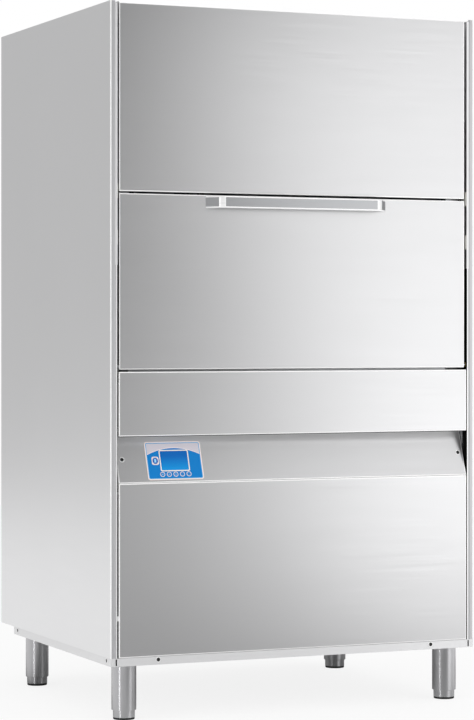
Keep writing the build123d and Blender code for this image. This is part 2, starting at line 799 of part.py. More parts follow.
# Wash pump: finned motor, volute and the rotor inside both
pump_axis = (1, 0, 0)
volute_left = pump_x - volute_width / 2
motor_left = volute_left - motor_gap - motor_length
with BuildPart() as pump_motor:
    rod(motor_diameter - 2 * motor_fin, (motor_left, pump_y, pump_z), pump_axis, motor_length)
    fin_plane = Plane(origin=(motor_left + motor_length / 2, pump_y, pump_z), z_dir=pump_axis)
    with Locations(fin_plane):
        with PolarLocations(motor_diameter / 2 - motor_fin, motor_fins):
            Box(2 * motor_fin, motor_fin / 2, motor_length - 2 * motor_end_cap)
    rod(2 * shaft_diameter, (motor_left + motor_length, pump_y, pump_z), pump_axis, motor_gap)
    block((motor_left + motor_foot_inset, motor_left + motor_length - motor_foot_inset),
          (pump_y - motor_diameter / 3, pump_y + motor_diameter / 3),
          (leg_height + rail_wall, pump_z - motor_diameter / 3))
    rod(shaft_diameter + 2 * running_clearance, (motor_left + motor_length / 2, pump_y, pump_z), pump_axis,
        motor_length / 2 + motor_gap, Mode.SUBTRACT)
pump_motor.part.label = "pump_motor"
export_step(pump_motor.part, "parts/pump_motor.step")

with BuildPart() as pump_volute:
    rod(volute_diameter, (volute_left, pump_y, pump_z), pump_axis, volute_width)
    outlet_top = pump_z + volute_diameter / 2 + volute_wall
    rod(hose_diameter - 2 * hose_wall, (pump_x, pump_y, pump_z), (0, 0, 1), outlet_top - pump_z)
    inlet_end = volute_left + volute_width + 3 * volute_wall
    rod(hose_diameter - 2 * hose_wall, (pump_x, pump_y, pump_z), pump_axis, inlet_end - pump_x)
    rod(volute_diameter - 2 * volute_wall, (volute_left + volute_wall, pump_y, pump_z), pump_axis,
        volute_width - 2 * volute_wall, Mode.SUBTRACT)
    bore = hose_diameter - 2 * hose_wall - 2 * volute_wall
    rod(bore, (pump_x, pump_y, pump_z), (0, 0, 1), outlet_top - pump_z, Mode.SUBTRACT)
    rod(bore, (pump_x, pump_y, pump_z), pump_axis, inlet_end - pump_x, Mode.SUBTRACT)
    rod(shaft_diameter + 2 * running_clearance, (volute_left, pump_y, pump_z), pump_axis,
        volute_wall, Mode.SUBTRACT)
pump_volute.part.label = "pump_volute"
export_step(pump_volute.part, "parts/pump_volute.step")

with BuildPart() as pump_rotor:
    shaft_left = motor_left + motor_length / 2 + moving_clearance
    impeller_left = pump_x - impeller_width / 2
    rod(shaft_diameter, (shaft_left, pump_y, pump_z), pump_axis, pump_x - shaft_left)
    rod(impeller_diameter, (impeller_left, pump_y, pump_z), pump_axis, impeller_width / 4)
    vane_plane = Plane(origin=(pump_x, pump_y, pump_z), z_dir=pump_axis)
    with Locations(vane_plane):
        with PolarLocations(impeller_diameter / 4, impeller_vanes):
            Box(impeller_diameter / 2, impeller_width / 6, impeller_width)
pump_rotor.part.label = "pump_rotor"
export_step(pump_rotor.part, "parts/pump_rotor.step")

# Suction hose from the tank and delivery hose to the wash manifold
with BuildPart() as pump_hoses:
    with BuildLine() as suction_route:
        FilletPolyline(
            (inlet_end - 2 * volute_wall, pump_y, pump_z),
            (suction_x, pump_y, pump_z),
            (suction_x, pump_y, tank_bottom),
            radius=hose_bend,
        )
    with BuildSketch(Plane(origin=suction_route.wire() @ 0, z_dir=suction_route.wire() % 0)):
        Circle(hose_diameter / 2)
        Circle(hose_diameter / 2 - hose_wall, mode=Mode.SUBTRACT)
    sweep(path=suction_route.wire())
    with BuildLine() as delivery_route:
        FilletPolyline(
            (pump_x, pump_y, outlet_top - volute_wall),
            (pump_x, pump_y, delivery_height),
            (manifold_x, manifold_y, delivery_height),
            (manifold_x, manifold_y, chamber_floor - moving_clearance),
            radius=hose_bend,
        )
    with BuildSketch(Plane(origin=delivery_route.wire() @ 0, z_dir=delivery_route.wire() % 0)):
        Circle(hose_diameter / 2)
        Circle(hose_diameter / 2 - hose_wall, mode=Mode.SUBTRACT)
    sweep(path=delivery_route.wire())
pump_hoses.part.label = "pump_hoses"
export_step(pump_hoses.part, "parts/pump_hoses.step")

# Wash manifold inside the chamber: riser, two branches, and a hub and spindle at each
lower_arm_z = lower_hub_top + hub_gap
lower_rinse_z = lower_arm_z + wash_arm_height + arm_gap
lower_nut_z = lower_rinse_z + rinse_arm_height + arm_clearance
upper_arm_z = upper_hub_bottom - hub_gap - wash_arm_height
upper_rinse_z = upper_arm_z - arm_gap - rinse_arm_height
upper_nut_z = upper_rinse_z - arm_clearance - nut_height
with BuildPart() as wash_manifold:
    riser_top = upper_branch_z + manifold_diameter / 2
    rod(manifold_diameter, (manifold_x, manifold_y, chamber_floor), (0, 0, 1), riser_top - chamber_floor)
    for branch_z in (lower_branch_z, upper_branch_z):
        rod(branch_diameter, (manifold_x, arm_y, branch_z), (0, 1, 0), manifold_y - arm_y)
    rod(hub_diameter, (manifold_x, arm_y, lower_branch_z), (0, 0, 1), lower_hub_top - lower_branch_z)
    rod(hub_diameter, (manifold_x, arm_y, upper_hub_bottom), (0, 0, 1), upper_branch_z - upper_hub_bottom)
    rod(spindle_diameter, (manifold_x, arm_y, lower_hub_top), (0, 0, 1), lower_nut_z - lower_hub_top)
    rod(nut_diameter, (manifold_x, arm_y, lower_nut_z), (0, 0, 1), nut_height)
    upper_spindle = upper_hub_bottom - upper_nut_z - nut_height
    rod(spindle_diameter, (manifold_x, arm_y, upper_nut_z + nut_height), (0, 0, 1), upper_spindle)
    rod(nut_diameter, (manifold_x, arm_y, upper_nut_z), (0, 0, 1), nut_height)
wash_manifold.part.label = "wash_manifold"
export_step(wash_manifold.part, "parts/wash_manifold.step")

# Rinse pipe from the boiler's top, up the back of the chamber, with a branch to each hub
boiler_bottom = leg_height + rail_wall + boiler_foot
boiler_top = boiler_bottom + boiler_length
rinse_branch_bottom = lower_hub_top - hub_height / 2
rinse_branch_top = upper_hub_bottom + hub_height / 2
with BuildPart() as rinse_pipe:
    with BuildLine() as rinse_route:
        FilletPolyline(
            (boiler_x, boiler_y, boiler_top),
            (boiler_x, boiler_y, rinse_route_height),
            (boiler_x, rinse_y, rinse_route_height),
            (rinse_x, rinse_y, rinse_route_height),
            (rinse_x, rinse_y, rinse_branch_top + rinse_diameter),
            radius=rinse_bend,
        )
    with BuildSketch(Plane(origin=rinse_route.wire() @ 0, z_dir=rinse_route.wire() % 0)):
        Circle(rinse_diameter / 2)
    sweep(path=rinse_route.wire())
    for branch_z in (rinse_branch_bottom, rinse_branch_top):
        with BuildLine() as branch_route:
            FilletPolyline(
                (rinse_x, rinse_y, branch_z),
                (rinse_x, arm_y, branch_z),
                (manifold_x + hub_diameter / 2, arm_y, branch_z),
                radius=rinse_branch_diameter,
            )
        with BuildSketch(Plane(origin=branch_route.wire() @ 0, z_dir=branch_route.wire() % 0)):
            Circle(rinse_branch_diameter / 2)
        sweep(path=branch_route.wire())
rinse_pipe.part.label = "rinse_pipe"
export_step(rinse_pipe.part, "parts/rinse_pipe.step")

# Spray arms: a flat hollow bar each way from a hub that turns on the spindle
arm_kinds = (
    ("lower_wash_arm", lower_arm_z, wash_arm_height, wash_arm_width, arm_radius, 1),
    ("lower_rinse_arm", lower_rinse_z, rinse_arm_height, rinse_arm_width, rinse_arm_radius, 1),
    ("upper_wash_arm", upper_arm_z, wash_arm_height, wash_arm_width, arm_radius, -1),
    ("upper_rinse_arm", upper_rinse_z, rinse_arm_height, rinse_arm_width, rinse_arm_radius, -1),
)
for name, arm_z, arm_height, arm_width, radius, spray in arm_kinds:
    with BuildPart() as spray_arm:
        with BuildSketch(Plane.XY.offset(arm_z)):
            with Locations((manifold_x, arm_y)):
                SlotOverall(2 * radius, arm_width)
                Circle(arm_hub_diameter / 2)
        extrude(amount=arm_height)
        fillet(spray_arm.edges().filter_by(Plane.XY), arm_height / 4)
        rod(spindle_diameter + 2 * arm_clearance, (manifold_x, arm_y, arm_z), (0, 0, 1), arm_height,
            Mode.SUBTRACT)
        spray_face = arm_z + arm_height if spray > 0 else arm_z
        for place in range(nozzles_a_side):
            for side in (-1, 1):
                nozzle_x = manifold_x + side * (radius - arm_width - place * nozzle_pitch)
                rod(nozzle_diameter, (nozzle_x, arm_y, spray_face), (0, 0, -spray), arm_height / 3,
                    Mode.SUBTRACT)
    spray_arm.part.label = name
    export_step(spray_arm.part, f"parts/{name}.step")

# Boiler: a closed cylinder on three stub feet
with BuildPart() as boiler:
    rod(boiler_diameter, (boiler_x, boiler_y, boiler_bottom), (0, 0, 1), boiler_length)
    ends = boiler.edges().filter_by(GeomType.CIRCLE)
    fillet(ends, boiler_diameter / 10)
    rod(boiler_diameter - 2 * boiler_wall - boiler_diameter / 5,
        (boiler_x, boiler_y, boiler_bottom + boiler_wall), (0, 0, 1),
        boiler_length - 2 * boiler_wall, Mode.SUBTRACT)
    with Locations((boiler_x, boiler_y, boiler_bottom)):
        with PolarLocations(boiler_diameter / 4, 3):
            Cylinder(boiler_foot_diameter / 2, boiler_foot, align=(Align.CENTER, Align.CENTER, Align.MAX))
boiler.part.label = "boiler"
export_step(boiler.part, "parts/boiler.step")

# Inlet valve: threaded nipple through the rear panel, body, coil and the pipe to the boiler
with BuildPart() as inlet_valve:
    valve_back = rear - 2 * sheet
    valve_front = valve_back - valve_size
    nipple_end = rear + inlet_thread_length
    boiler_side = boiler_y + boiler_diameter / 2
    block((boiler_x - valve_size / 2, boiler_x + valve_size / 2), (valve_front, valve_back),
          (inlet_height - valve_size / 2, inlet_height + valve_size / 2))
    rod(coil_diameter, (boiler_x, (valve_front + valve_back) / 2, inlet_height + valve_size / 2),
        (0, 0, 1), coil_height)
    rod(inlet_neck_diameter, (boiler_x, valve_back, inlet_height), (0, 1, 0), rear - valve_back)
    rod(inlet_thread_diameter, (boiler_x, rear, inlet_height), (0, 1, 0), inlet_thread_length)
    rod(inlet_pipe_diameter, (boiler_x, boiler_side, inlet_height), (0, 1, 0), valve_front - boiler_side)
    rod(inlet_bore, (boiler_x, valve_back, inlet_height), (0, 1, 0), nipple_end - valve_back,
        Mode.SUBTRACT)
inlet_valve.part.label = "inlet_valve"
export_step(inlet_valve.part, "parts/inlet_valve.step")

# Cable gland on the rear panel
with BuildPart() as cable_gland:
    gland_start = rear - 2 * sheet - gland_length / 3
    rod(gland_diameter, (gland_x, gland_start, gland_height), (0, 1, 0), rear - gland_start)
    with BuildSketch(Plane(origin=(gland_x, rear - sheet, gland_height), z_dir=(0, 1, 0))):
        RegularPolygon(gland_nut / 2, 6)
    extrude(amount=gland_length / 3)
    rod(gland_dome, (gland_x, rear - sheet, gland_height), (0, 1, 0), gland_length)
    rod(gland_bore, (gland_x, gland_start, gland_height), (0, 1, 0), 2 * gland_length, Mode.SUBTRACT)
    fillet(cable_gland.faces().sort_by(Axis.Y)[-1].outer_wire().edges(), gland_length / 8)
cable_gland.part.label = "cable_gland"
export_step(cable_gland.part, "parts/cable_gland.step")

# Wash rack: a wire basket with a grid floor, posts round its sides and a rim
with BuildPart() as wash_rack:
    rack_centre = (0, rack_front + rack_length / 2)
    rim_z = rack_floor + rack_depth - rack_wire
    along = int((rack_width - 2 * rack_wire) // rack_grid)
    across = int((rack_length - 2 * rack_wire) // rack_grid)
    cell_x = (rack_width - 2 * rack_wire) / along
    cell_y = (rack_length - 2 * rack_wire) / across
    with BuildSketch(Plane.XY.offset(rack_floor)):
        with Locations(rack_centre):
            Rectangle(rack_width, rack_length)
            with GridLocations(cell_x, cell_y, along, across):
                Rectangle(cell_x - rack_grid_wire, cell_y - rack_grid_wire, mode=Mode.SUBTRACT)
    extrude(amount=rack_grid_wire)
    with BuildSketch(Plane.XY.offset(rim_z)):
        with Locations(rack_centre):
            Rectangle(rack_width, rack_length)
            Rectangle(rack_width - 2 * rack_wire, rack_length - 2 * rack_wire, mode=Mode.SUBTRACT)
    extrude(amount=rack_wire)
    with BuildSketch(Plane.XY.offset(rack_floor)):
        with Locations(rack_centre):
            with GridLocations(cell_x, rack_length - rack_wire, along + 1, 2):
                Rectangle(rack_grid_wire, rack_wire)
            with GridLocations(rack_width - rack_wire, cell_y, 2, across + 1):
                Rectangle(rack_wire, rack_grid_wire)
    extrude(amount=rack_depth - rack_wire)
wash_rack.part.label = "wash_rack"
export_step(wash_rack.part, "parts/wash_rack.step")

# Control module behind the sloping panel: housing, display block and one switch per key
with BuildPart() as control_module:
    module_width = overlay_width - overlay_rim
    module_height = overlay_height - overlay_rim
    with BuildSketch(control_plane.offset(-sheet)):
        with Locations(overlay_place):
            Rectangle(module_width, module_height)
    extrude(amount=-module_depth)
    with BuildSketch(control_plane.offset(-sheet)):
        with Locations(display_place):
            Rectangle(display_width - 2 * display_corner, display_height - 2 * display_corner)
    extrude(amount=sheet - key_gap / 2)
    switch_top = key_proud - key_depth - key_travel - key_gap
    with BuildSketch(control_plane.offset(-sheet)):
        with Locations(*key_places, program_key_place):
            Circle(switch_diameter / 2)
    extrude(amount=sheet + switch_top)
control_module.part.label = "control_module"
export_step(control_module.part, "parts/control_module.step")

# Overlay: a thin plate with openings for the display and the keys
with BuildPart() as overlay:
    with BuildSketch(control_plane):
        with Locations(overlay_place):
            RectangleRounded(overlay_width, overlay_height, overlay_corner)
        with Locations(display_place):
            RectangleRounded(display_width + 2 * key_gap, display_height + 2 * key_gap,
                             display_corner + key_gap, mode=Mode.SUBTRACT)
        with Locations(*key_places):
            Circle(key_diameter / 2 + key_gap, mode=Mode.SUBTRACT)
        with Locations(program_key_place):
            RectangleRounded(program_key_width + 2 * key_gap, program_key_height + 2 * key_gap,
                             program_key_corner + key_gap, mode=Mode.SUBTRACT)
    extrude(amount=overlay_thickness)
overlay.part.label = "overlay"
export_step(overlay.part, "parts/overlay.step")

with BuildPart() as display_window:
    with BuildSketch(control_plane):
        with Locations(display_place):
            RectangleRounded(display_width, display_height, display_corner)
    extrude(amount=overlay_thickness)
display_window.part.label = "display_window"
export_step(display_window.part, "parts/display_window.step")

# Keys: five round ones and the larger program key, each proud of the overlay
key_plane = control_plane.offset(overlay_thickness + key_proud)
for number, place in enumerate(key_places, start=1):
    with BuildPart() as round_key:
        with BuildSketch(key_plane):
            with Locations(place):
                Circle(key_diameter / 2)
        extrude(amount=-key_depth - overlay_thickness)
        outer_face = round_key.faces().sort_by(Axis(control_plane.origin, control_plane.z_dir))[-1]
        fillet(outer_face.edges(), key_proud / 2)
    round_key.part.label = f"key_{number}"
    export_step(round_key.part, f"parts/key_{number}.step")

with BuildPart() as program_key:
    with BuildSketch(key_plane):
        with Locations(program_key_place):
            RectangleRounded(program_key_width, program_key_height, program_key_corner)
    extrude(amount=-key_depth - overlay_thickness)
    outer_face = program_key.faces().sort_by(Axis(control_plane.origin, control_plane.z_dir))[-1]
    fillet(outer_face.edges(), key_proud / 2)
program_key.part.label = "program_key"
export_step(program_key.part, "parts/program_key.step")

# Lower door: folded outer skin, with a hole in each side for the hinge pin
with BuildPart() as lower_door_skin:
    skin_back = door_face + door_fold
    block((-door_half, door_half), (door_face, skin_back), (lower_door_bottom, lower_door_top))
    block((sheet - door_half, door_half - sheet), (door_face + sheet, skin_back),
          (lower_door_bottom + sheet, lower_door_top - sheet), Mode.SUBTRACT)
    rod(hinge_pin_diameter, (-door_half, hinge_y, hinge_z), (1, 0, 0), 2 * door_half, Mode.SUBTRACT)
lower_door_skin.part.label = "lower_door_skin"
export_step(lower_door_skin.part, "parts/lower_door_skin.step")

with BuildPart() as lower_door_liner:
    liner_half = door_half - sheet - liner_side_gap
    liner_low = lower_door_bottom + liner_bottom_inset
    liner_high = lower_door_top - sheet - liner_side_gap
    liner_front = door_back - liner_rim
    block((-liner_half, liner_half), (liner_front, door_back), (liner_low, liner_high))
    block((sheet - liner_half, liner_half - sheet), (liner_front, door_back - sheet),
          (liner_low + sheet, liner_high - sheet), Mode.SUBTRACT)
lower_door_liner.part.label = "lower_door_liner"
export_step(lower_door_liner.part, "parts/lower_door_liner.step")

# Handle: a bar whose rounded ends splay out on their way back to the door
with BuildPart() as door_handle:
    handle_top = lower_door_top - handle_drop
    grip_front = door_face - handle_reach
    grip_back = grip_front + handle_bar
    splay = (handle_length - handle_front) / 2 / handle_reach
    bar_across = handle_bar * math.hypot(1, splay)
    with BuildSketch(Plane.XY.offset(handle_top - handle_height)):
        for y, narrower, mode in ((grip_front, 0, Mode.ADD), (grip_back, bar_across, Mode.SUBTRACT)):
            foot = handle_length / 2 - narrower
            corner = foot - splay * (door_face - y)
            with BuildLine():
                Polyline((-foot, door_face), (-corner, y), (corner, y), (foot, door_face), close=True)
            make_face(mode=mode)
    extrude(amount=handle_height)
    upright_edges = door_handle.edges().filter_by(Axis.Z)
    fillet(upright_edges.group_by(Axis.Y)[0], handle_corner)
    inner_corners = door_handle.edges().filter_by(Axis.Z).filter_by(
        lambda edge: abs(edge.center().Y - grip_back) < seam)
    fillet(inner_corners, handle_corner - handle_bar)
    rim = door_handle.faces().sort_by(Axis.Z)[-1].outer_wire().edges().filter_by(
        lambda edge: edge.center().Y < door_face - seam)
    sill = door_handle.faces().sort_by(Axis.Z)[0].outer_wire().edges().filter_by(
        lambda edge: edge.center().Y < door_face - seam)
    fillet(rim + sill, handle_edge)
door_handle.part.label = "door_handle"
export_step(door_handle.part, "parts/door_handle.step")

# Door levers: each is welded to its hinge pin and ends in a roller that works in the yoke
with BuildPart() as door_levers:
    pin_start = door_half - sheet - hinge_pin_grip
    lever_reach = (0, lever_rest_y - hinge_y, lever_rest_z - hinge_z)
    lever_mid_y = (hinge_y + lever_rest_y) / 2
    lever_mid_z = (hinge_z + lever_rest_z) / 2
    for side in (-1, 1):
        rod(hinge_pin_diameter, (side * pin_start, hinge_y, hinge_z), (side, 0, 0),
            lever_outer - pin_start)
        plate_plane = Plane(origin=(side * lever_inner, lever_mid_y, lever_mid_z), x_dir=lever_reach,
                            z_dir=(side, 0, 0))
        with BuildSketch(plate_plane):
            SlotCenterToCenter(lever_length, lever_width)
        extrude(amount=lever_thickness)
        rod(hinge_pin_diameter, (side * lever_inner, lever_rest_y, lever_rest_z), (-side, 0, 0),
            lever_inner - yoke_inner)
        rod(lever_roller_diameter, (side * yoke_inner, lever_rest_y, lever_rest_z), (side, 0, 0),
            lever_roller_width)
door_levers.part.label = "door_levers"
export_step(door_levers.part, "parts/door_levers.step")

# Upper door: folded outer skin with a rounded top edge
with BuildPart() as upper_door_skin:
    block((-door_half, door_half), (door_face, skin_back), (upper_door_bottom, upper_door_top))
    top_front = upper_door_skin.edges().filter_by(Axis.X).group_by(Axis.Z)[-1].sort_by(Axis.Y)[0]
    fillet(top_front, upper_edge_radius)
    block((sheet - door_half, door_half - sheet), (door_face + sheet, skin_back),
          (upper_door_bottom + sheet, upper_door_top - upper_edge_radius), Mode.SUBTRACT)
    block((sheet - door_half, door_half - sheet), (door_face + upper_edge_radius, skin_back),
          (upper_door_bottom + sheet, upper_door_top - sheet), Mode.SUBTRACT)
upper_door_skin.part.label = "upper_door_skin"
export_step(upper_door_skin.part, "parts/upper_door_skin.step")

with BuildPart() as upper_door_liner:
    upper_low = upper_door_bottom + sheet + liner_side_gap
    upper_high = upper_door_top - sheet - liner_side_gap
    block((-liner_half, liner_half), (liner_front, door_back), (upper_low, upper_high))
    block((sheet - liner_half, liner_half - sheet), (liner_front, door_back - sheet),
          (upper_low + sheet, upper_high - sheet), Mode.SUBTRACT)
upper_door_liner.part.label = "upper_door_liner"
export_step(upper_door_liner.part, "parts/upper_door_liner.step")

# Slide bars: each hangs from the upper door's edge and ends in the slotted yoke
with BuildPart() as slide_bars:
    yoke_low = lever_rest_z - yoke_half_height
    yoke_high = lever_rest_z + yoke_half_height
    bar_top = upper_door_bottom + slide_bar_grip
    for side in (-1, 1):
        block(sorted((side * bar_inner, side * bar_outer)), (bar_front, bar_back), (yoke_low, bar_top))
        block(sorted((side * door_half, side * bar_inner)), (bar_front, skin_back),
              (upper_door_bottom + liner_rim, bar_top))
        yoke_span = sorted((side * yoke_inner, side * yoke_outer))
        block(yoke_span, (bar_front, slot_back + yoke_wall), (yoke_low, yoke_high))
        block(yoke_span, (slot_front, slot_back),
              (lever_rest_z - slot_half_height, lever_rest_z + slot_half_height), Mode.SUBTRACT)
        rod(spring_pin_diameter, (side * yoke_inner, spring_y, spring_pin_z), (-side, 0, 0),
            yoke_inner - spring_x + spring_diameter / 2)
slide_bars.part.label = "slide_bars"
export_step(slide_bars.part, "parts/slide_bars.step")

# Guide shoes: plastic blocks round the slide bars, running in the channels
with BuildPart() as guide_shoes:
    shoe_outer = strip_x + channel_width - channel_wall - moving_clearance
    shoe_front = strip_y + channel_wall + moving_clearance
    shoe_back = channel_back - channel_wall - moving_clearance
    for side in (-1, 1):
        for shoe_z in (shoe_low, upper_door_bottom - shoe_height / 2):
            block(sorted((side * bar_inner, side * shoe_outer)), (shoe_front, shoe_back),
                  (shoe_z, shoe_z + shoe_height))
        block(sorted((side * bar_inner, side * bar_outer)), (bar_front, bar_back),
              (shoe_low, upper_door_bottom + shoe_height), Mode.SUBTRACT)
guide_shoes.part.label = "guide_shoes"
export_step(guide_shoes.part, "parts/guide_shoes.step")

# Balance springs, each stretched from the roof's anchor down to the yoke's pin
with BuildPart() as balance_springs:
    spring_length = spring_top - moving_clearance - spring_bottom
    for side in (-1, 1):
        rod(spring_diameter, (side * spring_x, spring_y, spring_bottom), (0, 0, 1), spring_length)
        rod(spring_diameter - 2 * spring_wire, (side * spring_x, spring_y, spring_bottom), (0, 0, 1),
            spring_length, Mode.SUBTRACT)
balance_springs.part.label = "balance_springs"
export_step(balance_springs.part, "parts/balance_springs.step")
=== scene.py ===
# %% [markdown]
# # A utensil washer with a split door
#
# This machine is a tall cabinet of stainless sheet. Its upper door slides up while its lower door
# folds down to a shelf, and it stands on four round screw feet. The CAD model gives every solid its
# place. Here the visible sheet metal is folded again with real bend radii, the printed control
# overlay and the small fittings are added, and every surface gets its finish.

import bpy
import json
import math
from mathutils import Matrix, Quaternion, Vector


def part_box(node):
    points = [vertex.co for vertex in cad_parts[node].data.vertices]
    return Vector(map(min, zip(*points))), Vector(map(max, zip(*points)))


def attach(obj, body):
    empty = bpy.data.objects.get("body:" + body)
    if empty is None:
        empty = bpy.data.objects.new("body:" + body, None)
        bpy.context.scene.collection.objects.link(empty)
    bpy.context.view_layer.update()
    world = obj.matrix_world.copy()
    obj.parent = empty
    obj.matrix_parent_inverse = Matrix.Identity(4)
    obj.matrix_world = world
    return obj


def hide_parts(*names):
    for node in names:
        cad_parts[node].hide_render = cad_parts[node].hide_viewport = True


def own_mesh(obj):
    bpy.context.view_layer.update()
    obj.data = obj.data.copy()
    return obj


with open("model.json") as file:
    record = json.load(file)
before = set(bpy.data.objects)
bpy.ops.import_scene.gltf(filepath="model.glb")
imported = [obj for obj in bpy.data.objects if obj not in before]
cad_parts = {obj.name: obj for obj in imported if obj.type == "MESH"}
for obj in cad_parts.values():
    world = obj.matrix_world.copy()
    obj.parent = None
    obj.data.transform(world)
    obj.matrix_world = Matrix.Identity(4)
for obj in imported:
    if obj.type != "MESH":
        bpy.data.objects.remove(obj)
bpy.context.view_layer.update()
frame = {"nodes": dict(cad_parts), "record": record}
nodes = frame["nodes"]

# %% [markdown]
# ## Colour and nodes
#
# Colours are picked from a picture as sRGB hex values, while shaders work in linear light, so one
# function converts them. Another adds a shader node with its settings and links, and short ones on
# top of it do what most materials need: arithmetic, a mapped range and a blend of two values. They
# keep each material down to a list of what it is made of.

# %% Colour and node helpers
def linear(hex_colour):
    """An sRGB hex colour as linear red, green, blue and alpha."""
    channels = [int(hex_colour[i:i + 2], 16) / 255 for i in (1, 3, 5)]
    return [c / 12.92 if c <= 0.04045 else ((c + 0.055) / 1.055) ** 2.4 for c in channels] + [1.0]


def add_node(tree, kind, settings=None, **inputs):
    """Add a node, set its properties, and set or link its inputs by name or number."""
    node = tree.nodes.new(kind)
    for key, value in (settings or {}).items():
        setattr(node, key, value)
    for key, value in inputs.items():
        numbered = key[0] == "i" and key[1:].isdigit()
        socket = node.inputs[int(key[1:]) if numbered else key.replace("_", " ")]
        if isinstance(value, bpy.types.NodeSocket):
            tree.links.new(value, socket)
        else:
            socket.default_value = value
    return node


def new_material(name):
    """An empty node material and its tree, ready for a shader."""
    material = bpy.data.materials.new(name)
    material.use_nodes = True
    material.node_tree.nodes.clear()
    return material, material.node_tree


def arithmetic(tree, operation, *values):
    """One step of arithmetic on numbers."""
    inputs = {f"i{i}": value for i, value in enumerate(values)}
    return add_node(tree, "ShaderNodeMath", {"operation": operation}, **inputs).outputs[0]


def vector_step(tree, operation, *values):
    """One step of arithmetic on vectors, of which only a length is a number."""
    inputs = {f"i{i}": value for i, value in enumerate(values)}
    node = add_node(tree, "ShaderNodeVectorMath", {"operation": operation}, **inputs)
    return node.outputs["Value" if operation == "LENGTH" else "Vector"]


def mapped(tree, value, span, levels=(0.0, 1.0), kind="LINEAR"):
    """A value mapped from a span to two levels, and held at them beyond the span."""
    return add_node(tree, "ShaderNodeMapRange", {"interpolation_type": kind}, Value=value,
                    From_Min=span[0], From_Max=span[1], To_Min=levels[0],
                    To_Max=levels[1]).outputs["Result"]


def faded(tree, value, span, levels=(0.0, 1.0)):
    """The same, but leaving and reaching the levels softly."""
    return mapped(tree, value, span, levels, "SMOOTHSTEP")


def blend(tree, share, first, second):
    """A colour between two colours, by the second one's share."""
    return add_node(tree, "ShaderNodeMix", {"data_type": "RGBA"}, Factor=share, i6=first,
                    i7=second).outputs[2]


def weigh(tree, share, first, second):
    """A number between two numbers, by the second one's share."""
    return add_node(tree, "ShaderNodeMix", {"data_type": "FLOAT"}, Factor=share, A=first,
                    B=second).outputs["Result"]


# %% [markdown]
# ## Camera
#
# The photograph was taken from the machine's left, level, about six metres away with a long lens.
# The place and the angle come from a fit to the cabinet's edges, and the small shift puts the
# horizon where the picture has it.

# %% Camera
image_height = 720
focal_pixels = 2526.9
sensor_size = 36.0
camera_place = (-2.6615, -6.16985, 0.9525)
camera_yaw = math.radians(23.484)
horizon_row = 330.76

bpy.ops.object.camera_add(location=camera_place, rotation=(math.pi / 2, 0, -camera_yaw))
camera = bpy.context.object
camera.data.sensor_width = sensor_size
camera.data.lens = sensor_size * focal_pixels / image_height
camera.data.shift_y = (horizon_row - image_height / 2) / image_height
camera.data.clip_end = 60.0
bpy.context.scene.camera = camera
print("lens", round(camera.data.lens, 2), "shift", round(camera.data.shift_y, 4))

# %% [markdown]
# ## Studio
#
# Ground stainless shows what stands round it, softly blurred. A white studio gives it its pale
# parts, and a bright panel on the right front gives the fronts their slow change from grey on the
# left to nearly white on the right. To the camera the world is white. In reflections it is dim in
# front, brighter behind and brightest overhead, with one dark corner at the left front. The floor
# is white with the object's shadow on it. In reflections it shows painted bands of light and dark,
# and painted shade under and behind the machine.

# %% Floor, world and lamps
bpy.context.scene.view_settings.view_transform = "Standard"
bpy.ops.mesh.primitive_plane_add(size=14, location=(0, 0, -0.0005))
floor = bpy.context.object
floor.name = "studio_floor"
bpy.ops.object.transform_apply(location=True, rotation=True, scale=True)
floor_white_share = 0.84
# Painted light: how bright the floor looks in reflections, in bands across X.
floor_levels = ((-1.4, 1.0), (-0.6, 0.95), (-0.25, 0.48), (0.35, 0.5), (0.85, 1.0), (1.35, 1.35))
band_reach, band_peak = 2.0, 1.5
painted_shade_under = (0.07, 0.07, 0.07, 1.0)

floor_material, tree = new_material("pale floor")
seen = add_node(tree, "ShaderNodeLightPath")
spot = add_node(tree, "ShaderNodeTexCoord").outputs["Object"]
spot_parts = add_node(tree, "ShaderNodeSeparateXYZ", i0=spot)
paint = add_node(tree, "ShaderNodeBsdfDiffuse", Color=linear("#F4F4F4"))
glow = add_node(tree, "ShaderNodeEmission", Color=linear("#FFFFFF"), Strength=1.0)
share = arithmetic(tree, "MULTIPLY", seen.outputs["Is Camera Ray"], floor_white_share)
mixed = add_node(tree, "ShaderNodeMixShader", i0=share, i1=paint.outputs[0], i2=glow.outputs[0])
across = mapped(tree, spot_parts.outputs["X"], (-band_reach, band_reach))
band = add_node(tree, "ShaderNodeValToRGB", Fac=across)
while len(band.color_ramp.elements) < len(floor_levels):
    band.color_ramp.elements.new(0.5)
for stop, (x, level) in zip(band.color_ramp.elements, floor_levels):
    stop.position = (x + band_reach) / (2 * band_reach)
    stop.color = [level / band_peak] * 3 + [1.0]
# Painted shade: in reflections the floor turns dark under and behind the machine.
under = arithmetic(tree, "MULTIPLY", faded(tree, spot_parts.outputs["Y"], (-0.45, -0.1)),
                   faded(tree, spot_parts.outputs["X"], (-0.65, -0.5)))
under = arithmetic(tree, "MULTIPLY", under,
                   faded(tree, vector_step(tree, "LENGTH", spot), (1.5, 1.0)))
tone = blend(tree, under, band.outputs["Color"], painted_shade_under)
mirrored = add_node(tree, "ShaderNodeEmission", Color=tone, Strength=band_peak)
whole = add_node(tree, "ShaderNodeMixShader", i0=seen.outputs["Is Glossy Ray"], i1=mixed.outputs[0],
                 i2=mirrored.outputs[0])
add_node(tree, "ShaderNodeOutputMaterial", Surface=whole.outputs[0])
floor.data.materials.append(floor_material)

front_level, rear_level, ceiling_level, corner_level = 0.25, 0.59, 1.25, 0.06
diffuse_level = 0.9

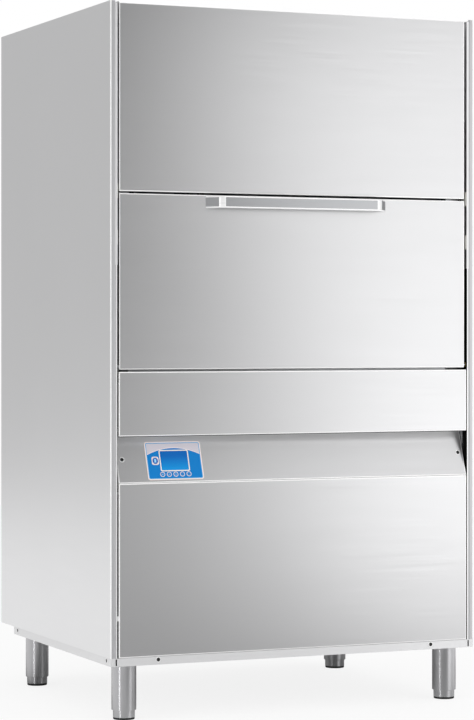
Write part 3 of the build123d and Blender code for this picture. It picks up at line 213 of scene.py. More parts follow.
world = bpy.data.worlds.new("studio")
bpy.context.scene.world = world
world.use_nodes = True
tree = world.node_tree
tree.nodes.clear()
direction = add_node(tree, "ShaderNodeTexCoord")
parts = add_node(tree, "ShaderNodeSeparateXYZ", i0=direction.outputs["Generated"])
around = faded(tree, parts.outputs["Y"], (-0.8, 0.8), (front_level, rear_level))
overhead = faded(tree, parts.outputs["Z"], (0.55, 0.98))
room = weigh(tree, overhead, around, ceiling_level)
corner = arithmetic(tree, "MULTIPLY", faded(tree, parts.outputs["Y"], (-0.55, -0.75)),
                    faded(tree, parts.outputs["X"], (0.2, 0.0)))
room = weigh(tree, corner, room, corner_level)
seen = add_node(tree, "ShaderNodeLightPath")
room = weigh(tree, seen.outputs["Is Diffuse Ray"], room, diffuse_level)
room = weigh(tree, seen.outputs["Is Camera Ray"], room, 1.0)
sky = add_node(tree, "ShaderNodeBackground", Color=linear("#FFFFFF"), Strength=room)
add_node(tree, "ShaderNodeOutputWorld", Surface=sky.outputs[0])


def soft_light(name, place, target, width, height, watts, roll=0.0):
    """A rectangular softbox that faces a point, turned about its own axis by the roll."""
    bpy.ops.object.light_add(type="AREA", location=place)
    lamp = bpy.context.object
    lamp.name = name
    lamp.data.shape = "RECTANGLE"
    lamp.data.size = width
    lamp.data.size_y = height
    lamp.data.energy = watts
    aim = (Vector(target) - Vector(place)).to_track_quat("-Z", "Y")
    lamp.rotation_euler = (aim @ Quaternion((0, 0, 1), math.radians(roll))).to_euler()


soft_light("front_panel_light", place=(1.65, -2.5, 1.25), target=(0.3, -0.42, 1.0), width=1.6,
           height=2.3, watts=16.5, roll=14)
soft_light("left_strip_light", place=(-3.0, -1.75, 1.1), target=(0, -0.4, 1.0), width=0.14,
           height=2.6, watts=15)
soft_light("overhead_light", place=(0.4, -0.6, 3.6), target=(0, 0, 0.9), width=2.4, height=2.4,
           watts=6)

# %% [markdown]
# ## Ground stainless steel
#
# The panels are chrome-nickel steel ground with a belt, so fine parallel scratches run along each
# panel. They spread a reflection across the grain and leave it sharper along it. Real scratches are
# a tenth of a millimetre wide, too fine to show from six metres, so the grain is drawn about two
# millimetres wide, very faintly, in the roughness and the colour. Polished, plain and machined
# steel are the same recipe with other numbers.

# %% Steel finishes
def steel(name, colour, roughness, grain=(4.0, 4.0, 500.0), spread=0.06, tone=0.05, metallic=1.0,
          upright_streak=0.0):
    """Steel with a grain; the grain's three numbers are lines per metre along each axis. A streak
    draws each highlight out along Z, as the fine rings that turning leaves on a tube do."""
    material, tree = new_material(name)
    place = add_node(tree, "ShaderNodeTexCoord").outputs["Object"]
    along = add_node(tree, "ShaderNodeMapping", i0=place, Scale=grain)
    lines = add_node(tree, "ShaderNodeTexNoise", Vector=along.outputs[0], Scale=1.0, Detail=3.0)
    clouds = add_node(tree, "ShaderNodeTexNoise", Vector=place, Scale=3.0, Detail=2.0)
    rough = mapped(tree, lines.outputs["Fac"], (0.3, 0.7),
                   (roughness - spread / 2, roughness + spread / 2))
    dark = [c * (1 - tone) for c in linear(colour)[:3]] + [1.0]
    shade = blend(tree, lines.outputs["Fac"], dark, linear(colour))
    cloud = blend(tree, clouds.outputs["Fac"], shade, linear(colour))
    shader = add_node(tree, "ShaderNodeBsdfPrincipled", Base_Color=cloud, Metallic=metallic,
                      Roughness=rough)
    if upright_streak:
        axis = add_node(tree, "ShaderNodeCombineXYZ", Z=1.0)
        tree.links.new(axis.outputs[0], shader.inputs["Tangent"])
        shader.inputs["Anisotropic"].default_value = upright_streak
    add_node(tree, "ShaderNodeOutputMaterial", Surface=shader.outputs[0])
    return material


ground_panel = steel("ground stainless, front panels", "#CDCDCE", 0.34)
# Painted light: the side panels get a lighter copy of the front panels' steel, for the brighter
# light on the side.
painted_lighter_side_steel = steel("ground stainless, side panels, painted lighter", "#EBEBEC", 0.32, grain=(4.0, 4.0, 450.0))
plain_sheet = steel("mill-finish stainless, inner sheets", "#D6D7D9", 0.34,
                    grain=(250.0, 250.0, 8.0), tone=0.03, metallic=0.7)
folded_frame = steel("folded stainless, frame", "#E2E2E3", 0.4, grain=(4.0, 500.0, 500.0),
                     metallic=0.4)
turned_steel = steel("turned stainless, bars and fittings", "#C4C5C7", 0.24,
                     grain=(300.0, 300.0, 300.0), spread=0.08)
satin_tube = steel("satin stainless, leg tubes", "#C8C8CA", 0.3, grain=(500.0, 500.0, 3.0),
                   spread=0.04, tone=0.03, upright_streak=0.85)
satin_handle = steel("satin stainless, handle", "#A9AAAC", 0.3, grain=(3.0, 400.0, 400.0),
                     spread=0.05)
post_face = steel("ground stainless, post faces", "#C8C8CA", 0.5, grain=(500.0, 500.0, 4.0),
                  metallic=0.7)
# Painted highlight: a near-white, mostly matt finish for folds and rims, so that they read as
# bright lines.
painted_highlight_fold = steel("painted highlight, folds and rims", "#FBFBFB", 0.3, tone=0.0,
                    metallic=0.25)
spring_wire = steel("drawn spring wire", "#8E9094", 0.3, grain=(200.0, 200.0, 200.0))


# %% [markdown]
# ## Rubber, plastics, brass and paint
#
# The seal, the pads and the hoses are black rubber, which is dull and never quite black. Moulded
# plastics have a fine spark-eroded texture that scatters light. Brass is warm and a little dulled.
# Each gets a mottle and a faint relief, at the size of the real grain where that shows.

# %% Rubber, plastic, brass and paint finishes
def moulded(name, colour, roughness, speckle=900.0, bump=0.25, tone=0.25, metallic=0.0, coat=0.0):
    """A moulded, cast or printed surface with a fine mottle and relief."""
    material, tree = new_material(name)
    place = add_node(tree, "ShaderNodeTexCoord").outputs["Object"]
    grain = add_node(tree, "ShaderNodeTexNoise", Vector=place, Scale=speckle, Detail=2.0)
    wear = add_node(tree, "ShaderNodeTexNoise", Vector=place, Scale=18.0, Detail=4.0)
    dark = [c * (1 - tone) for c in linear(colour)[:3]] + [1.0]
    shade = blend(tree, wear.outputs["Fac"], dark, linear(colour))
    rough = mapped(tree, wear.outputs["Fac"], (0.0, 1.0),
                   (max(roughness - 0.06, 0.05), min(roughness + 0.06, 1.0)))
    relief = add_node(tree, "ShaderNodeBump", Strength=bump, Distance=0.0001,
                      Height=grain.outputs["Fac"])
    shader = add_node(tree, "ShaderNodeBsdfPrincipled", Base_Color=shade, Metallic=metallic,
                      Roughness=rough, Normal=relief.outputs["Normal"], Coat_Weight=coat)
    add_node(tree, "ShaderNodeOutputMaterial", Surface=shader.outputs[0])
    return material


black_rubber = moulded("moulded EPDM rubber", "#1B1B1C", 0.7)
hose_rubber = moulded("extruded hose rubber", "#202123", 0.6)
slide_plastic = moulded("machined polyethylene, guide shoes", "#DEDDD6", 0.5)
black_plastic = moulded("moulded black nylon", "#232427", 0.5)
grey_plastic = moulded("extruded grey polypropylene", "#8D9092", 0.5)
cast_brass = moulded("turned brass", "#C9A35A", 0.32, metallic=1.0, tone=0.15, bump=0.1)
motor_paint = moulded("painted cast aluminium, motor", "#3C4247", 0.45, speckle=500.0)
print("finishes", len(bpy.data.materials))

# %% [markdown]
# ## Printed film
#
# The control overlay is polyester film printed from behind, so its colours lie under a clear, satin
# face. These are the finishes of the keys, which are separate pieces: pale rings, blue caps and
# light marks. The field and the header are drawn later by the overlay's own material.

# %% Film finishes
film_blue = moulded("printed film, blue", "#0079C3", 0.38, tone=0.05, bump=0.05, coat=0.2)
film_deep = moulded("printed film, deep blue", "#0058B4", 0.3, tone=0.05, bump=0.05, coat=0.2)
film_pale = moulded("printed film, pale rim", "#E8DAD6", 0.4, tone=0.04, bump=0.05, coat=0.2)
film_light = moulded("printed film, light blue marks", "#8FD0F4", 0.4, tone=0.05, bump=0.05)


# %% [markdown]
# ## Modelling by hand, in code
#
# Each new piece starts as a primitive at its size and place. These helpers deselect everything,
# select faces or edges by where they are, colour or round them, apply what is left on the object so
# that its place is in its mesh, and give it its finish and the body that it moves with.

# %% Modelling helpers
def only(piece):
    """Make one object the selected and active one."""
    bpy.ops.object.select_all(action="DESELECT")
    piece.select_set(True)
    bpy.context.view_layer.objects.active = piece


def pick(piece, kind, test):
    """Go into edit mode with only the faces, edges or vertices that pass the test selected."""
    bpy.ops.object.mode_set(mode="EDIT")
    bpy.ops.mesh.select_mode(type=kind)
    bpy.ops.mesh.select_all(action="DESELECT")
    bpy.ops.object.mode_set(mode="OBJECT")
    mesh = piece.data
    points = [piece.matrix_world @ v.co for v in mesh.vertices]
    if kind == "FACE":
        for face in mesh.polygons:
            face.select = bool(test(piece.matrix_world @ face.center, face.normal))
    elif kind == "EDGE":
        for edge in mesh.edges:
            edge.select = bool(test(points[edge.vertices[0]], points[edge.vertices[1]]))
    else:
        for vertex in mesh.vertices:
            vertex.select = bool(test(points[vertex.index]))
    bpy.ops.object.mode_set(mode="EDIT")


def paint_faces(piece, number, test):
    """Give the faces that pass the test one of the piece's materials, by its number."""
    pick(piece, "FACE", test)
    piece.active_material_index = number
    bpy.ops.object.material_slot_assign()
    bpy.ops.object.mode_set(mode="OBJECT")


def round_edges(piece, test, width, steps, number=-1):
    """Round the edges that pass the test; the new faces keep their neighbours' material, unless
    a number picks another."""
    pick(piece, "EDGE", test)
    bpy.ops.mesh.bevel(offset=width, segments=steps, affect="EDGES", material=number)
    bpy.ops.object.mode_set(mode="OBJECT")


def settle(piece):
    """Leave edit mode and put the object's place into its mesh."""
    if bpy.context.mode != "OBJECT":
        bpy.ops.object.mode_set(mode="OBJECT")
    only(piece)
    bpy.ops.object.transform_apply(location=True, rotation=True, scale=True)


def cube(name, low, high):
    """A block between two corners, with its place in its mesh."""
    low, high = Vector(low), Vector(high)
    bpy.ops.object.select_all(action="DESELECT")
    bpy.ops.mesh.primitive_cube_add(size=1, location=(low + high) / 2)
    piece = bpy.context.object
    piece.name = name
    piece.scale = high - low
    settle(piece)
    return piece


def cylinder(name, radius, start, end, sides=48):
    """A round bar between two points, with its place in its mesh."""
    start, end = Vector(start), Vector(end)
    bpy.ops.object.select_all(action="DESELECT")
    turn = (end - start).to_track_quat("Z", "Y").to_euler()
    bpy.ops.mesh.primitive_cylinder_add(vertices=sides, radius=radius, depth=(end - start).length,
                                        location=(start + end) / 2, rotation=turn)
    piece = bpy.context.object
    piece.name = name
    settle(piece)
    return piece


def modify(piece, kind, **settings):
    """Add a modifier with its settings and apply it."""
    only(piece)
    modifier = piece.modifiers.new(kind.lower(), kind)
    for key, value in settings.items():
        setattr(modifier, key, value)
    bpy.ops.object.modifier_apply(modifier=modifier.name)


def dress(piece, material, body, smooth=35):
    """Smooth a finished piece, and give it its finish and its body."""
    settle(piece)
    if smooth:
        bpy.ops.object.shade_smooth_by_angle(angle=math.radians(smooth))
        modify(piece, "WEIGHTED_NORMAL", keep_sharp=True)
    if not piece.data.materials:
        piece.data.materials.append(material)
    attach(piece, body)
    return piece


def join(name, pieces):
    """Join several pieces into the first, under one name."""
    only(pieces[0])
    for piece in pieces:
        piece.select_set(True)
    bpy.ops.object.join()
    pieces[0].name = name
    return pieces[0]


# %% [markdown]
# ## Folding sheet metal
#
# A folded panel is one flat sheet with its edges turned back. It is modelled that way: one flat
# face, an edge extruded for each flange, the folds rounded to their bend radius, and the sheet's
# thickness added inwards. The rounded folds carry a near-white painted highlight, which draws the
# thin bright lines that outline every panel of the machine.

# %% Sheet metal helper
sheet_thickness = 0.0012
bend_radius = 0.0026
same_place = 1e-5


def fold_sheet(name, span, profile, materials, inward=1, upright=False, bend=bend_radius,
               thickness=sheet_thickness, bend_steps=4, side_flange=None):
    """Fold a sheet along its profile. The span is along X with the profile in Y and Z, or with
    upright the span is along Z with the profile in X and Y. The second material is for the folds.
    A side flange is a segment's number and the vector that its two side edges are turned along."""
    if upright:
        points = [Vector((y, -x)) for x, y in profile]
    else:
        points = [Vector(p) for p in profile]
    first, second = points[0], points[1]
    middle = (first + second) / 2
    across = second - first
    bpy.ops.object.select_all(action="DESELECT")
    bpy.ops.mesh.primitive_plane_add(size=1, location=((span[0] + span[1]) / 2, middle.x, middle.y),
                                     rotation=(math.atan2(across.y, across.x), 0, 0))
    piece = bpy.context.object
    piece.name = name
    piece.scale = (span[1] - span[0], across.length, 1)
    settle(piece)
    for material in materials:
        piece.data.materials.append(material)

    def at(place, point):
        return (Vector((place.y, place.z)) - point).length < same_place

    def on_side(a, b):
        if side_flange is None:
            return False
        ends = points[side_flange[0]], points[side_flange[0] + 1]
        return any(at(a, p) and at(b, q) for p, q in (ends, ends[::-1])) and any(
            abs(a.x - x) < same_place and abs(b.x - x) < same_place for x in span)

    for start, end in zip(points[1:], points[2:]):
        pick(piece, "EDGE", lambda a, b: at(a, start) and at(b, start))
        bpy.ops.mesh.extrude_edges_move(
            TRANSFORM_OT_translate={"value": (0, end.x - start.x, end.y - start.y)})
        bpy.ops.object.mode_set(mode="OBJECT")
    if side_flange:
        pick(piece, "EDGE", on_side)
        bpy.ops.mesh.extrude_edges_move(TRANSFORM_OT_translate={"value": side_flange[1]})
        bpy.ops.object.mode_set(mode="OBJECT")
    round_edges(piece, lambda a, b: on_side(a, b) or any(at(a, p) and at(b, p)
                for p in points[1:-1]), bend, bend_steps, 1)
    modify(piece, "SOLIDIFY", thickness=thickness, offset=-float(inward), use_even_offset=True)
    if upright:
        only(piece)
        piece.rotation_euler = (0, -math.pi / 2, 0)
        settle(piece)
    return piece


def compare(piece, *names):
    """Print how far a piece's box is from the CAD nodes that it stands for, in millimetres."""
    points = [v.co for v in piece.data.vertices]
    low = [min(p[i] for p in points) for i in range(3)]
    high = [max(p[i] for p in points) for i in range(3)]
    boxes = [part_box(n) for n in names]
    cad_low = [min(b[0][i] for b in boxes) for i in range(3)]
    cad_high = [max(b[1][i] for b in boxes) for i in range(3)]
    off = [round(1000 * (a - b), 2) for a, b in zip(low + high, cad_low + cad_high)]
    print(piece.name, "off the CAD by", off, "mm, faces", len(piece.data.polygons))


# %% [markdown]
# ## Side panels
#
# Each side is one tall sheet whose front edge is folded round to make the face of the post, and
# whose rear edge is folded in to carry the back panel.

# %% Side panels
post_width, post_lip, rear_return = 0.013, 0.004, 0.020
for side, word in ((1, "right"), (-1, "left")):
    low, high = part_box(f"side_panel_{word}")
    outer = high.x if side > 0 else low.x
    inner_front = outer - side * post_width
    inner_rear = outer - side * rear_return
    profile = [(inner_rear, high.y), (outer, high.y), (outer, low.y), (inner_front, low.y),
               (inner_front, low.y + post_lip)]
    # The folds get the painted highlight.
    panel = fold_sheet(f"side_sheet_{word}", (low.z, high.z), profile,
                       (painted_lighter_side_steel, painted_highlight_fold, post_face), inward=side, upright=True)
    paint_faces(panel, 2, lambda place, normal: place.y < low.y + 0.003
                and abs(place.x) < abs(outer) - bend_radius)
    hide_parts(f"side_panel_{word}")
    dress(panel, painted_lighter_side_steel, "cabinet")
    compare(panel, f"side_panel_{word}")

# %% [markdown]
# ## Fascia, control panel and service panel
#
# Three sheets close the front under the doors. The fascia turns far back at its lower edge, and
# that lip is painted near white, which lightens the shade under the fascia. The control panel
# slopes back under it, and its top fold is painted black as the shadow line under the fascia. The
# service panel is a flat lift-off cover. All three have their side edges turned back as well.

# %% Fixed front panels
# The second finish paints a highlight on every fold.
sheet_steel = (ground_panel, painted_highlight_fold)
low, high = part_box("fascia_panel")
strip_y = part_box("front_subframe")[0].y
rim_depth = strip_y - low.y
fascia = fold_sheet("fascia_sheet", (low.x, high.x),
                    [(strip_y, high.z), (low.y, high.z), (low.y, low.z), (high.y, low.z)],
                    sheet_steel, inward=-1, side_flange=(1, (0, rim_depth, 0)))
# Painted light: the fascia's lower lip is near white, so that the shade under the fascia reads
# lighter.
paint_faces(fascia, 1, lambda place, normal: abs(normal.z) > 0.99 and place.z < low.z + 0.003)
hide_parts("fascia_panel")
dress(fascia, ground_panel, "cabinet")
compare(fascia, "fascia_panel")

low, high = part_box("control_panel")
control_top_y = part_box("fascia_panel")[1].y
control_flange = high.y - control_top_y
# Its folds get the painted highlight.
control = fold_sheet("control_sheet", (low.x, high.x),
                     [(low.y + control_flange, low.z), (low.y, low.z), (control_top_y, high.z),
                      (high.y, high.z)], (ground_panel, painted_highlight_fold, black_rubber), inward=1,
                     side_flange=(1, (0, rim_depth, 0)))
# Painted shade: the control panel's top fold is black as the shadow line under the fascia.
paint_faces(control, 2, lambda place, normal: place.z > high.z - 0.0035)
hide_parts("control_panel")
dress(control, ground_panel, "cabinet")
compare(control, "control_panel")

low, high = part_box("service_panel")
service = fold_sheet("service_sheet", (low.x, high.x),
                     [(high.y, high.z), (low.y, high.z), (low.y, low.z), (high.y, low.z)],
                     sheet_steel, inward=-1, side_flange=(1, (0, rim_depth, 0)))
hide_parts("service_panel")
dress(service, ground_panel, "cabinet")
compare(service, "service_panel")


# %% [markdown]
# ## Doors
#
# Each door skin is a shallow tray with its four edges turned back and its corners welded and ground
# round. It starts as a block: the back is taken off, the front edges are rounded, and the thickness
# goes inwards. The rounded edges carry the painted highlight, and the upper door's top edge has a
# larger radius, which shows as a white rolled line.

# %% Door skins
def tray(name, node, top_radius):
    """A sheet tray that fills a CAD node's box and is open towards the back."""
    low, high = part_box(node)
    piece = cube(name, low, high)
    for material in sheet_steel:
        piece.data.materials.append(material)
    pick(piece, "FACE", lambda place, normal: normal.y > 0.9)
    bpy.ops.mesh.delete(type="FACE")
    bpy.ops.object.mode_set(mode="OBJECT")

    def in_front(a, b):
        return max(a.y, b.y) < low.y + same_place

    # The rounded edges get the painted highlight.
    round_edges(piece, lambda a, b: in_front(a, b) and min(a.z, b.z) > high.z - same_place,
                top_radius, 5, 1)
    round_edges(piece, lambda a, b: in_front(a, b) and (
        abs(a.x - b.x) < same_place or max(a.z, b.z) < low.z + same_place), bend_radius, 3, 1)
    modify(piece, "SOLIDIFY", thickness=sheet_thickness, offset=-1.0, use_even_offset=True)
    return piece


rolled_radius = 0.005
for node, body, radius in (("lower_door_skin", "lower_door", bend_radius),
                           ("upper_door_skin", "upper_door", rolled_radius)):
    skin = tray(node.replace("skin", "sheet"), node, radius)
    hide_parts(node)
    dress(skin, ground_panel, body)
    compare(skin, node)

# %% [markdown]
# ## Handle
#
# The handle is a flat bar whose ends splay out on their way back to the door. It is bent from a
# flat like the sheets, but with a bar's thickness, and its long edges are rounded. Its bends and
# rounded edges carry the painted highlight. It is made a little too long and then cut off flush
# with the door.

# %% Handle
low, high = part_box("door_handle")
splay, spare = 0.030, 0.012
bar_bend, bar_thickness, edge_round = 0.02, 0.011, 0.0036
spare_x = spare * splay / (high.y - low.y)
half_turn = (math.pi / 2 - math.atan2(splay, high.y - low.y)) / 2
# Its bends get the painted highlight.
handle = fold_sheet("handle_bar", (low.z, high.z),
                    [(low.x - spare_x, high.y + spare), (low.x + splay, low.y),
                     (high.x - splay, low.y), (high.x + spare_x, high.y + spare)],
                    (satin_handle, painted_highlight_fold), inward=-1, upright=True,
                    bend=bar_bend * math.tan(half_turn), thickness=bar_thickness, bend_steps=12)
# The rounded long edges get the painted highlight too.
modify(handle, "BEVEL", width=edge_round, segments=4, limit_method="ANGLE",
       angle_limit=math.radians(50), material=1)
pick(handle, "FACE", lambda place, normal: True)
bpy.ops.mesh.bisect(plane_co=(0, high.y, 0), plane_no=(0, 1, 0), use_fill=True, clear_outer=True)
settle(handle)
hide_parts("door_handle")
dress(handle, satin_handle, "lower_door", smooth=50)
compare(handle, "door_handle")

# %% [markdown]
# ## Control overlay
#
# The overlay is one printed film on a thin plate, with openings for the window and the keys, so its
# CAD shape stays and the print is drawn by its material: a blue field and a grey header inside a
# pale rim. A Mapping node turns the sloping panel flat, and each printed shape is a rounded
# rectangle: a point belongs to it if its distance to the shrunken rectangle is less than the corner
# radius. The header's lower edge is one shallow arc.

# %% Overlay print
control_low, control_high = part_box("control_panel")
slope = math.atan2(control_top_y - control_low.y, control_high.z - control_low.z)
panel_turn = (math.pi / 2 - slope, 0, 0)
panel_origin = Vector((0, (control_low.y + control_top_y) / 2,
                       (control_low.z + control_high.z) / 2))
overlay_low, overlay_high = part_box("overlay")
overlay_centre = (overlay_low + overlay_high) / 2
film_width, film_height = 0.148, 0.0975
rim_margin, field_margin = 0.0055, 0.009
rim_round, field_round = 0.0042, 0.003
frame_width, frame_height = 0.0775, 0.0545
arc_top, arc_curve, arc_line = 0.0335, 3.4, 0.0016
panel_up = Vector((0, math.sin(slope), math.cos(slope)))
panel_outward = Vector((0, -math.cos(slope), math.sin(slope)))


def flat_place(tree):
    """Object coordinates turned so that X runs along the overlay and Y up its slope."""
    place = add_node(tree, "ShaderNodeTexCoord").outputs["Object"]
    turned = add_node(tree, "ShaderNodeMapping", {"vector_type": "TEXTURE"}, i0=place,
                      Location=overlay_centre, Rotation=panel_turn)
    return vector_step(tree, "MULTIPLY", turned.outputs[0], (1, 1, 0))


def rounded_mask(tree, place, centre, width, height, radius):
    """1 inside a rounded rectangle and 0 outside it."""
    moved = vector_step(tree, "SUBTRACT", place, (centre[0], centre[1], 0))
    core = (width / 2 - radius, height / 2 - radius, 0)
    beyond = vector_step(tree, "SUBTRACT", vector_step(tree, "ABSOLUTE", moved), core)
    outside = vector_step(tree, "MAXIMUM", beyond, (0, 0, 0))
    return arithmetic(tree, "LESS_THAN", vector_step(tree, "LENGTH", outside), radius)


def paint_over(tree, below, mask, hex_colour):
    """Lay a colour over what is printed so far, where the mask is 1."""
    return blend(tree, mask, below, linear(hex_colour))


film_print, tree = new_material("printed polyester film, overlay")
place = flat_place(tree)
field = rounded_mask(tree, place, (0, 0), film_width - rim_margin, film_height - rim_margin,
                     rim_round)
inside = rounded_mask(tree, place, (0, 0), film_width - field_margin, film_height - field_margin,
                      field_round)
colour = paint_over(tree, linear("#EADDD9"), field, "#4C9FD2")
colour = paint_over(tree, colour, inside, "#C9C5CD")
split = add_node(tree, "ShaderNodeSeparateXYZ", i0=place)
square = arithmetic(tree, "MULTIPLY", split.outputs["X"], split.outputs["X"])
arc = arithmetic(tree, "MULTIPLY_ADD", square, -arc_curve, arc_top)
low_arc = arithmetic(tree, "SUBTRACT", arc, arc_line)
for edge, hex_colour in ((arc, "#EADDD9"), (low_arc, "#0078C2")):
    under_edge = arithmetic(tree, "LESS_THAN", split.outputs["Y"], edge)
    both = arithmetic(tree, "MULTIPLY", under_edge, inside)
    colour = paint_over(tree, colour, both, hex_colour)
window_low, window_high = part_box("display_window")
window_offset = (window_low + window_high) / 2 - overlay_centre
window_centre = (window_offset.x, window_offset.dot(panel_up))
window_frame = rounded_mask(tree, place, window_centre, frame_width, frame_height, rim_round)
colour = paint_over(tree, colour, window_frame, "#F1E6D6")
grain = add_node(tree, "ShaderNodeTexNoise", Vector=place, Scale=1500.0, Detail=2.0)
relief = add_node(tree, "ShaderNodeBump", Strength=0.08, Distance=0.0001,
                  Height=grain.outputs["Fac"])
shader = add_node(tree, "ShaderNodeBsdfPrincipled", Base_Color=colour, Roughness=0.4,
                  Specular_IOR_Level=0.15, Normal=relief.outputs["Normal"])
add_node(tree, "ShaderNodeOutputMaterial", Surface=shader.outputs[0])

window_film, tree = new_material("tinted polyester window")
place = flat_place(tree)
split = add_node(tree, "ShaderNodeSeparateXYZ", i0=place)
rise = mapped(tree, split.outputs["Y"], (-0.024, 0.012))
tint = blend(tree, rise, linear("#0A8FD6"), linear("#0062B3"))
shader = add_node(tree, "ShaderNodeBsdfPrincipled", Base_Color=tint, Roughness=0.16,
                  Specular_IOR_Level=0.25, Coat_Weight=0.1)
add_node(tree, "ShaderNodeOutputMaterial", Surface=shader.outputs[0])

# %% [markdown]
# ## Keys
#
# Each key is an embossed dome in the film with a pale ring round it. The CAD key is the ring, and a
# thin blue cap with a rounded edge lies on it and moves with it. Three keys and the larger program
# key carry a plain light mark.

# %% Key caps
def cap(name, centre, radius, lift, height, material, body, sides=32, squash_to=(1, 1)):
    """A thin disc on the sloping panel, with its top edge rounded."""
    bpy.ops.object.select_all(action="DESELECT")
    bpy.ops.mesh.primitive_cylinder_add(vertices=sides, radius=radius, depth=height,
                                        rotation=(0, 0, math.pi / sides))
    piece = bpy.context.object
    piece.name = name
    settle(piece)
    piece.scale = (squash_to[0], squash_to[1], 1)
    settle(piece)
    round_edges(piece, lambda a, b: a.z > 0 and b.z > 0, height * 0.4, 2)
    piece.rotation_euler = panel_turn
    piece.location = panel_origin + Vector((centre[0], 0, 0)) + panel_up * centre[1] \
        + panel_outward * (lift + height / 2)
    return dress(piece, material, body, smooth=40)


def panel_place(node):
    """Where a node's centre lies along the panel and up its slope, from the panel's middle."""
    low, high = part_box(node)
    middle = (low + high) / 2 - panel_origin
    return middle.x, middle.dot(panel_up)


key_top = 0.0014
cap_height, mark_height, base_height = 0.00012, 0.00008, 0.00009
mark_lift = key_top + cap_height
mark_shapes = {1: (0.6, 0.6), 2: (1, 0.3), 3: (0.3, 1)}
for number in range(1, 6):
    centre = panel_place(f"key_{number}")
    cap(f"key_cap_{number}", centre, 0.0049, key_top, cap_height, film_blue, f"key_{number}")
    if number in mark_shapes:
        cap(f"key_mark_{number}", centre, 0.0024, mark_lift, mark_height, film_light,
            f"key_{number}", sides=24, squash_to=mark_shapes[number])
centre = panel_place("program_key")
cap("program_cap", centre, 0.0081, key_top, cap_height, film_deep, "program_key", sides=8,
    squash_to=(0.93, 1.08))
cap("program_mark", (centre[0], centre[1] + 0.0016), 0.0036, mark_lift, mark_height, film_light,
    "program_key", sides=24, squash_to=(0.8, 1))
cap("program_base", (centre[0], centre[1] - 0.0030), 0.0040, mark_lift, base_height, film_light,
    "program_key", sides=4, squash_to=(1.0, 0.45))

# %% [markdown]
# ## Screws
#
# Eight low screw heads show on the control panel and the rails. Each is modelled facing up, as a
# disc with a rounded rim whose top is inset and pushed down to a recess, and then turned to face
# out of its panel. The head is painted near white as a highlight, and the recess is painted dark as
# shade.

# %% Screws
# Painted highlight: the heads are near white and mostly matt.
painted_bright_screw_steel = steel("turned stainless, screws, painted bright", "#F2F2F2", 0.28, grain=(400.0, 400.0, 400.0),
                    metallic=0.3)
# Painted shade: the recess is near black.
painted_recess_shade = moulded("painted shade, screw recess", "#141415", 0.6)
head_radius, head_height = 0.0068, 0.001
head_round, recess_rim = 0.0007, 0.0013


def screw_head(place, outward):
    """One screw head at a place, facing outward."""
    bpy.ops.object.select_all(action="DESELECT")
    bpy.ops.mesh.primitive_cylinder_add(vertices=24, radius=head_radius, depth=head_height,
                                        location=(0, 0, head_height / 2))
    piece = bpy.context.object
    settle(piece)
    piece.data.materials.append(painted_bright_screw_steel)
    piece.data.materials.append(painted_recess_shade)
    near_top = head_height * 0.9
    round_edges(piece, lambda a, b: a.z > near_top and b.z > near_top, head_round, 3)
    pick(piece, "FACE", lambda centre, normal: normal.z > 0.99 and centre.z > near_top)
    bpy.ops.mesh.inset(thickness=recess_rim)
    piece.active_material_index = 1
    bpy.ops.mesh.extrude_region_move(TRANSFORM_OT_translate={"value": (0, 0, -head_height * 0.7)})
    bpy.ops.object.material_slot_assign()
    bpy.ops.object.mode_set(mode="OBJECT")
    piece.rotation_euler = Vector(outward).to_track_quat("Z", "Y").to_euler()
    piece.location = place
    settle(piece)
    return piece


base_low, base_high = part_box("base_frame")
panel_screw_x, front_screw_x = 0.464, 0.3755
front_screw_inset, rear_screw_inset = 0.029, 0.032
screw_z = base_low.z + 0.0125
heads = []
for side in (-1, 1):
    heads.append(screw_head((side * panel_screw_x, panel_origin.y, panel_origin.z), panel_outward))
    heads.append(screw_head((side * front_screw_x, base_low.y, screw_z), (0, -1, 0)))
    for screw_y in (base_low.y + front_screw_inset, base_high.y - rear_screw_inset):
        heads.append(screw_head((side * base_high.x, screw_y, screw_z), (side, 0, 0)))
screws = join("screw_heads", heads)
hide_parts("panel_screws")
dress(screws, painted_bright_screw_steel, "cabinet", smooth=30)

# %% [markdown]
# ## Legs
#
# The four legs are satin tube, open below so that the foot's sleeve telescopes into them, with a
# small weld bead where each meets the frame. Each is a cylinder without its lower face, given a
# wall and rounded ends.

# %% Legs
leg_low, leg_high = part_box("leg_tubes")
leg_radius, leg_wall = 0.0305, 0.003
bead_radius = 0.0016
legs = []
for corner_x in (leg_low.x + leg_radius, leg_high.x - leg_radius):
    for corner_y in (leg_low.y + leg_radius, leg_high.y - leg_radius):
        tube = cylinder("leg", leg_radius, (corner_x, corner_y, leg_low.z),
                        (corner_x, corner_y, leg_high.z), sides=64)
        pick(tube, "FACE", lambda centre, normal: normal.z < -0.9)
        bpy.ops.mesh.delete(type="FACE")
        bpy.ops.object.mode_set(mode="OBJECT")
        modify(tube, "SOLIDIFY", thickness=leg_wall, offset=-1.0)
        modify(tube, "BEVEL", width=0.0008, segments=3, limit_method="ANGLE",
               angle_limit=math.radians(60))
        bpy.ops.object.select_all(action="DESELECT")
        bpy.ops.mesh.primitive_torus_add(location=(corner_x, corner_y, leg_high.z - 0.0012),
                                         major_radius=leg_radius + 0.0004, minor_radius=bead_radius,
                                         major_segments=64, minor_segments=10)
        bead = bpy.context.object
        settle(bead)
        legs.append(join("leg", [tube, bead]))
leg_set = join("leg_set", legs)
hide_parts("leg_tubes")
dress(leg_set, satin_tube, "cabinet", smooth=40)
compare(leg_set, "leg_tubes")

# %% [markdown]
# ## Balance springs
#
# A long coil spring in each side column carries the upper door. A Screw modifier sweeps a small
# circle, the wire's section, round the column's axis and up by one pitch for each turn. As the door
# rises the real spring shortens towards its fixed upper end; here the coil is modelled at one
# length.

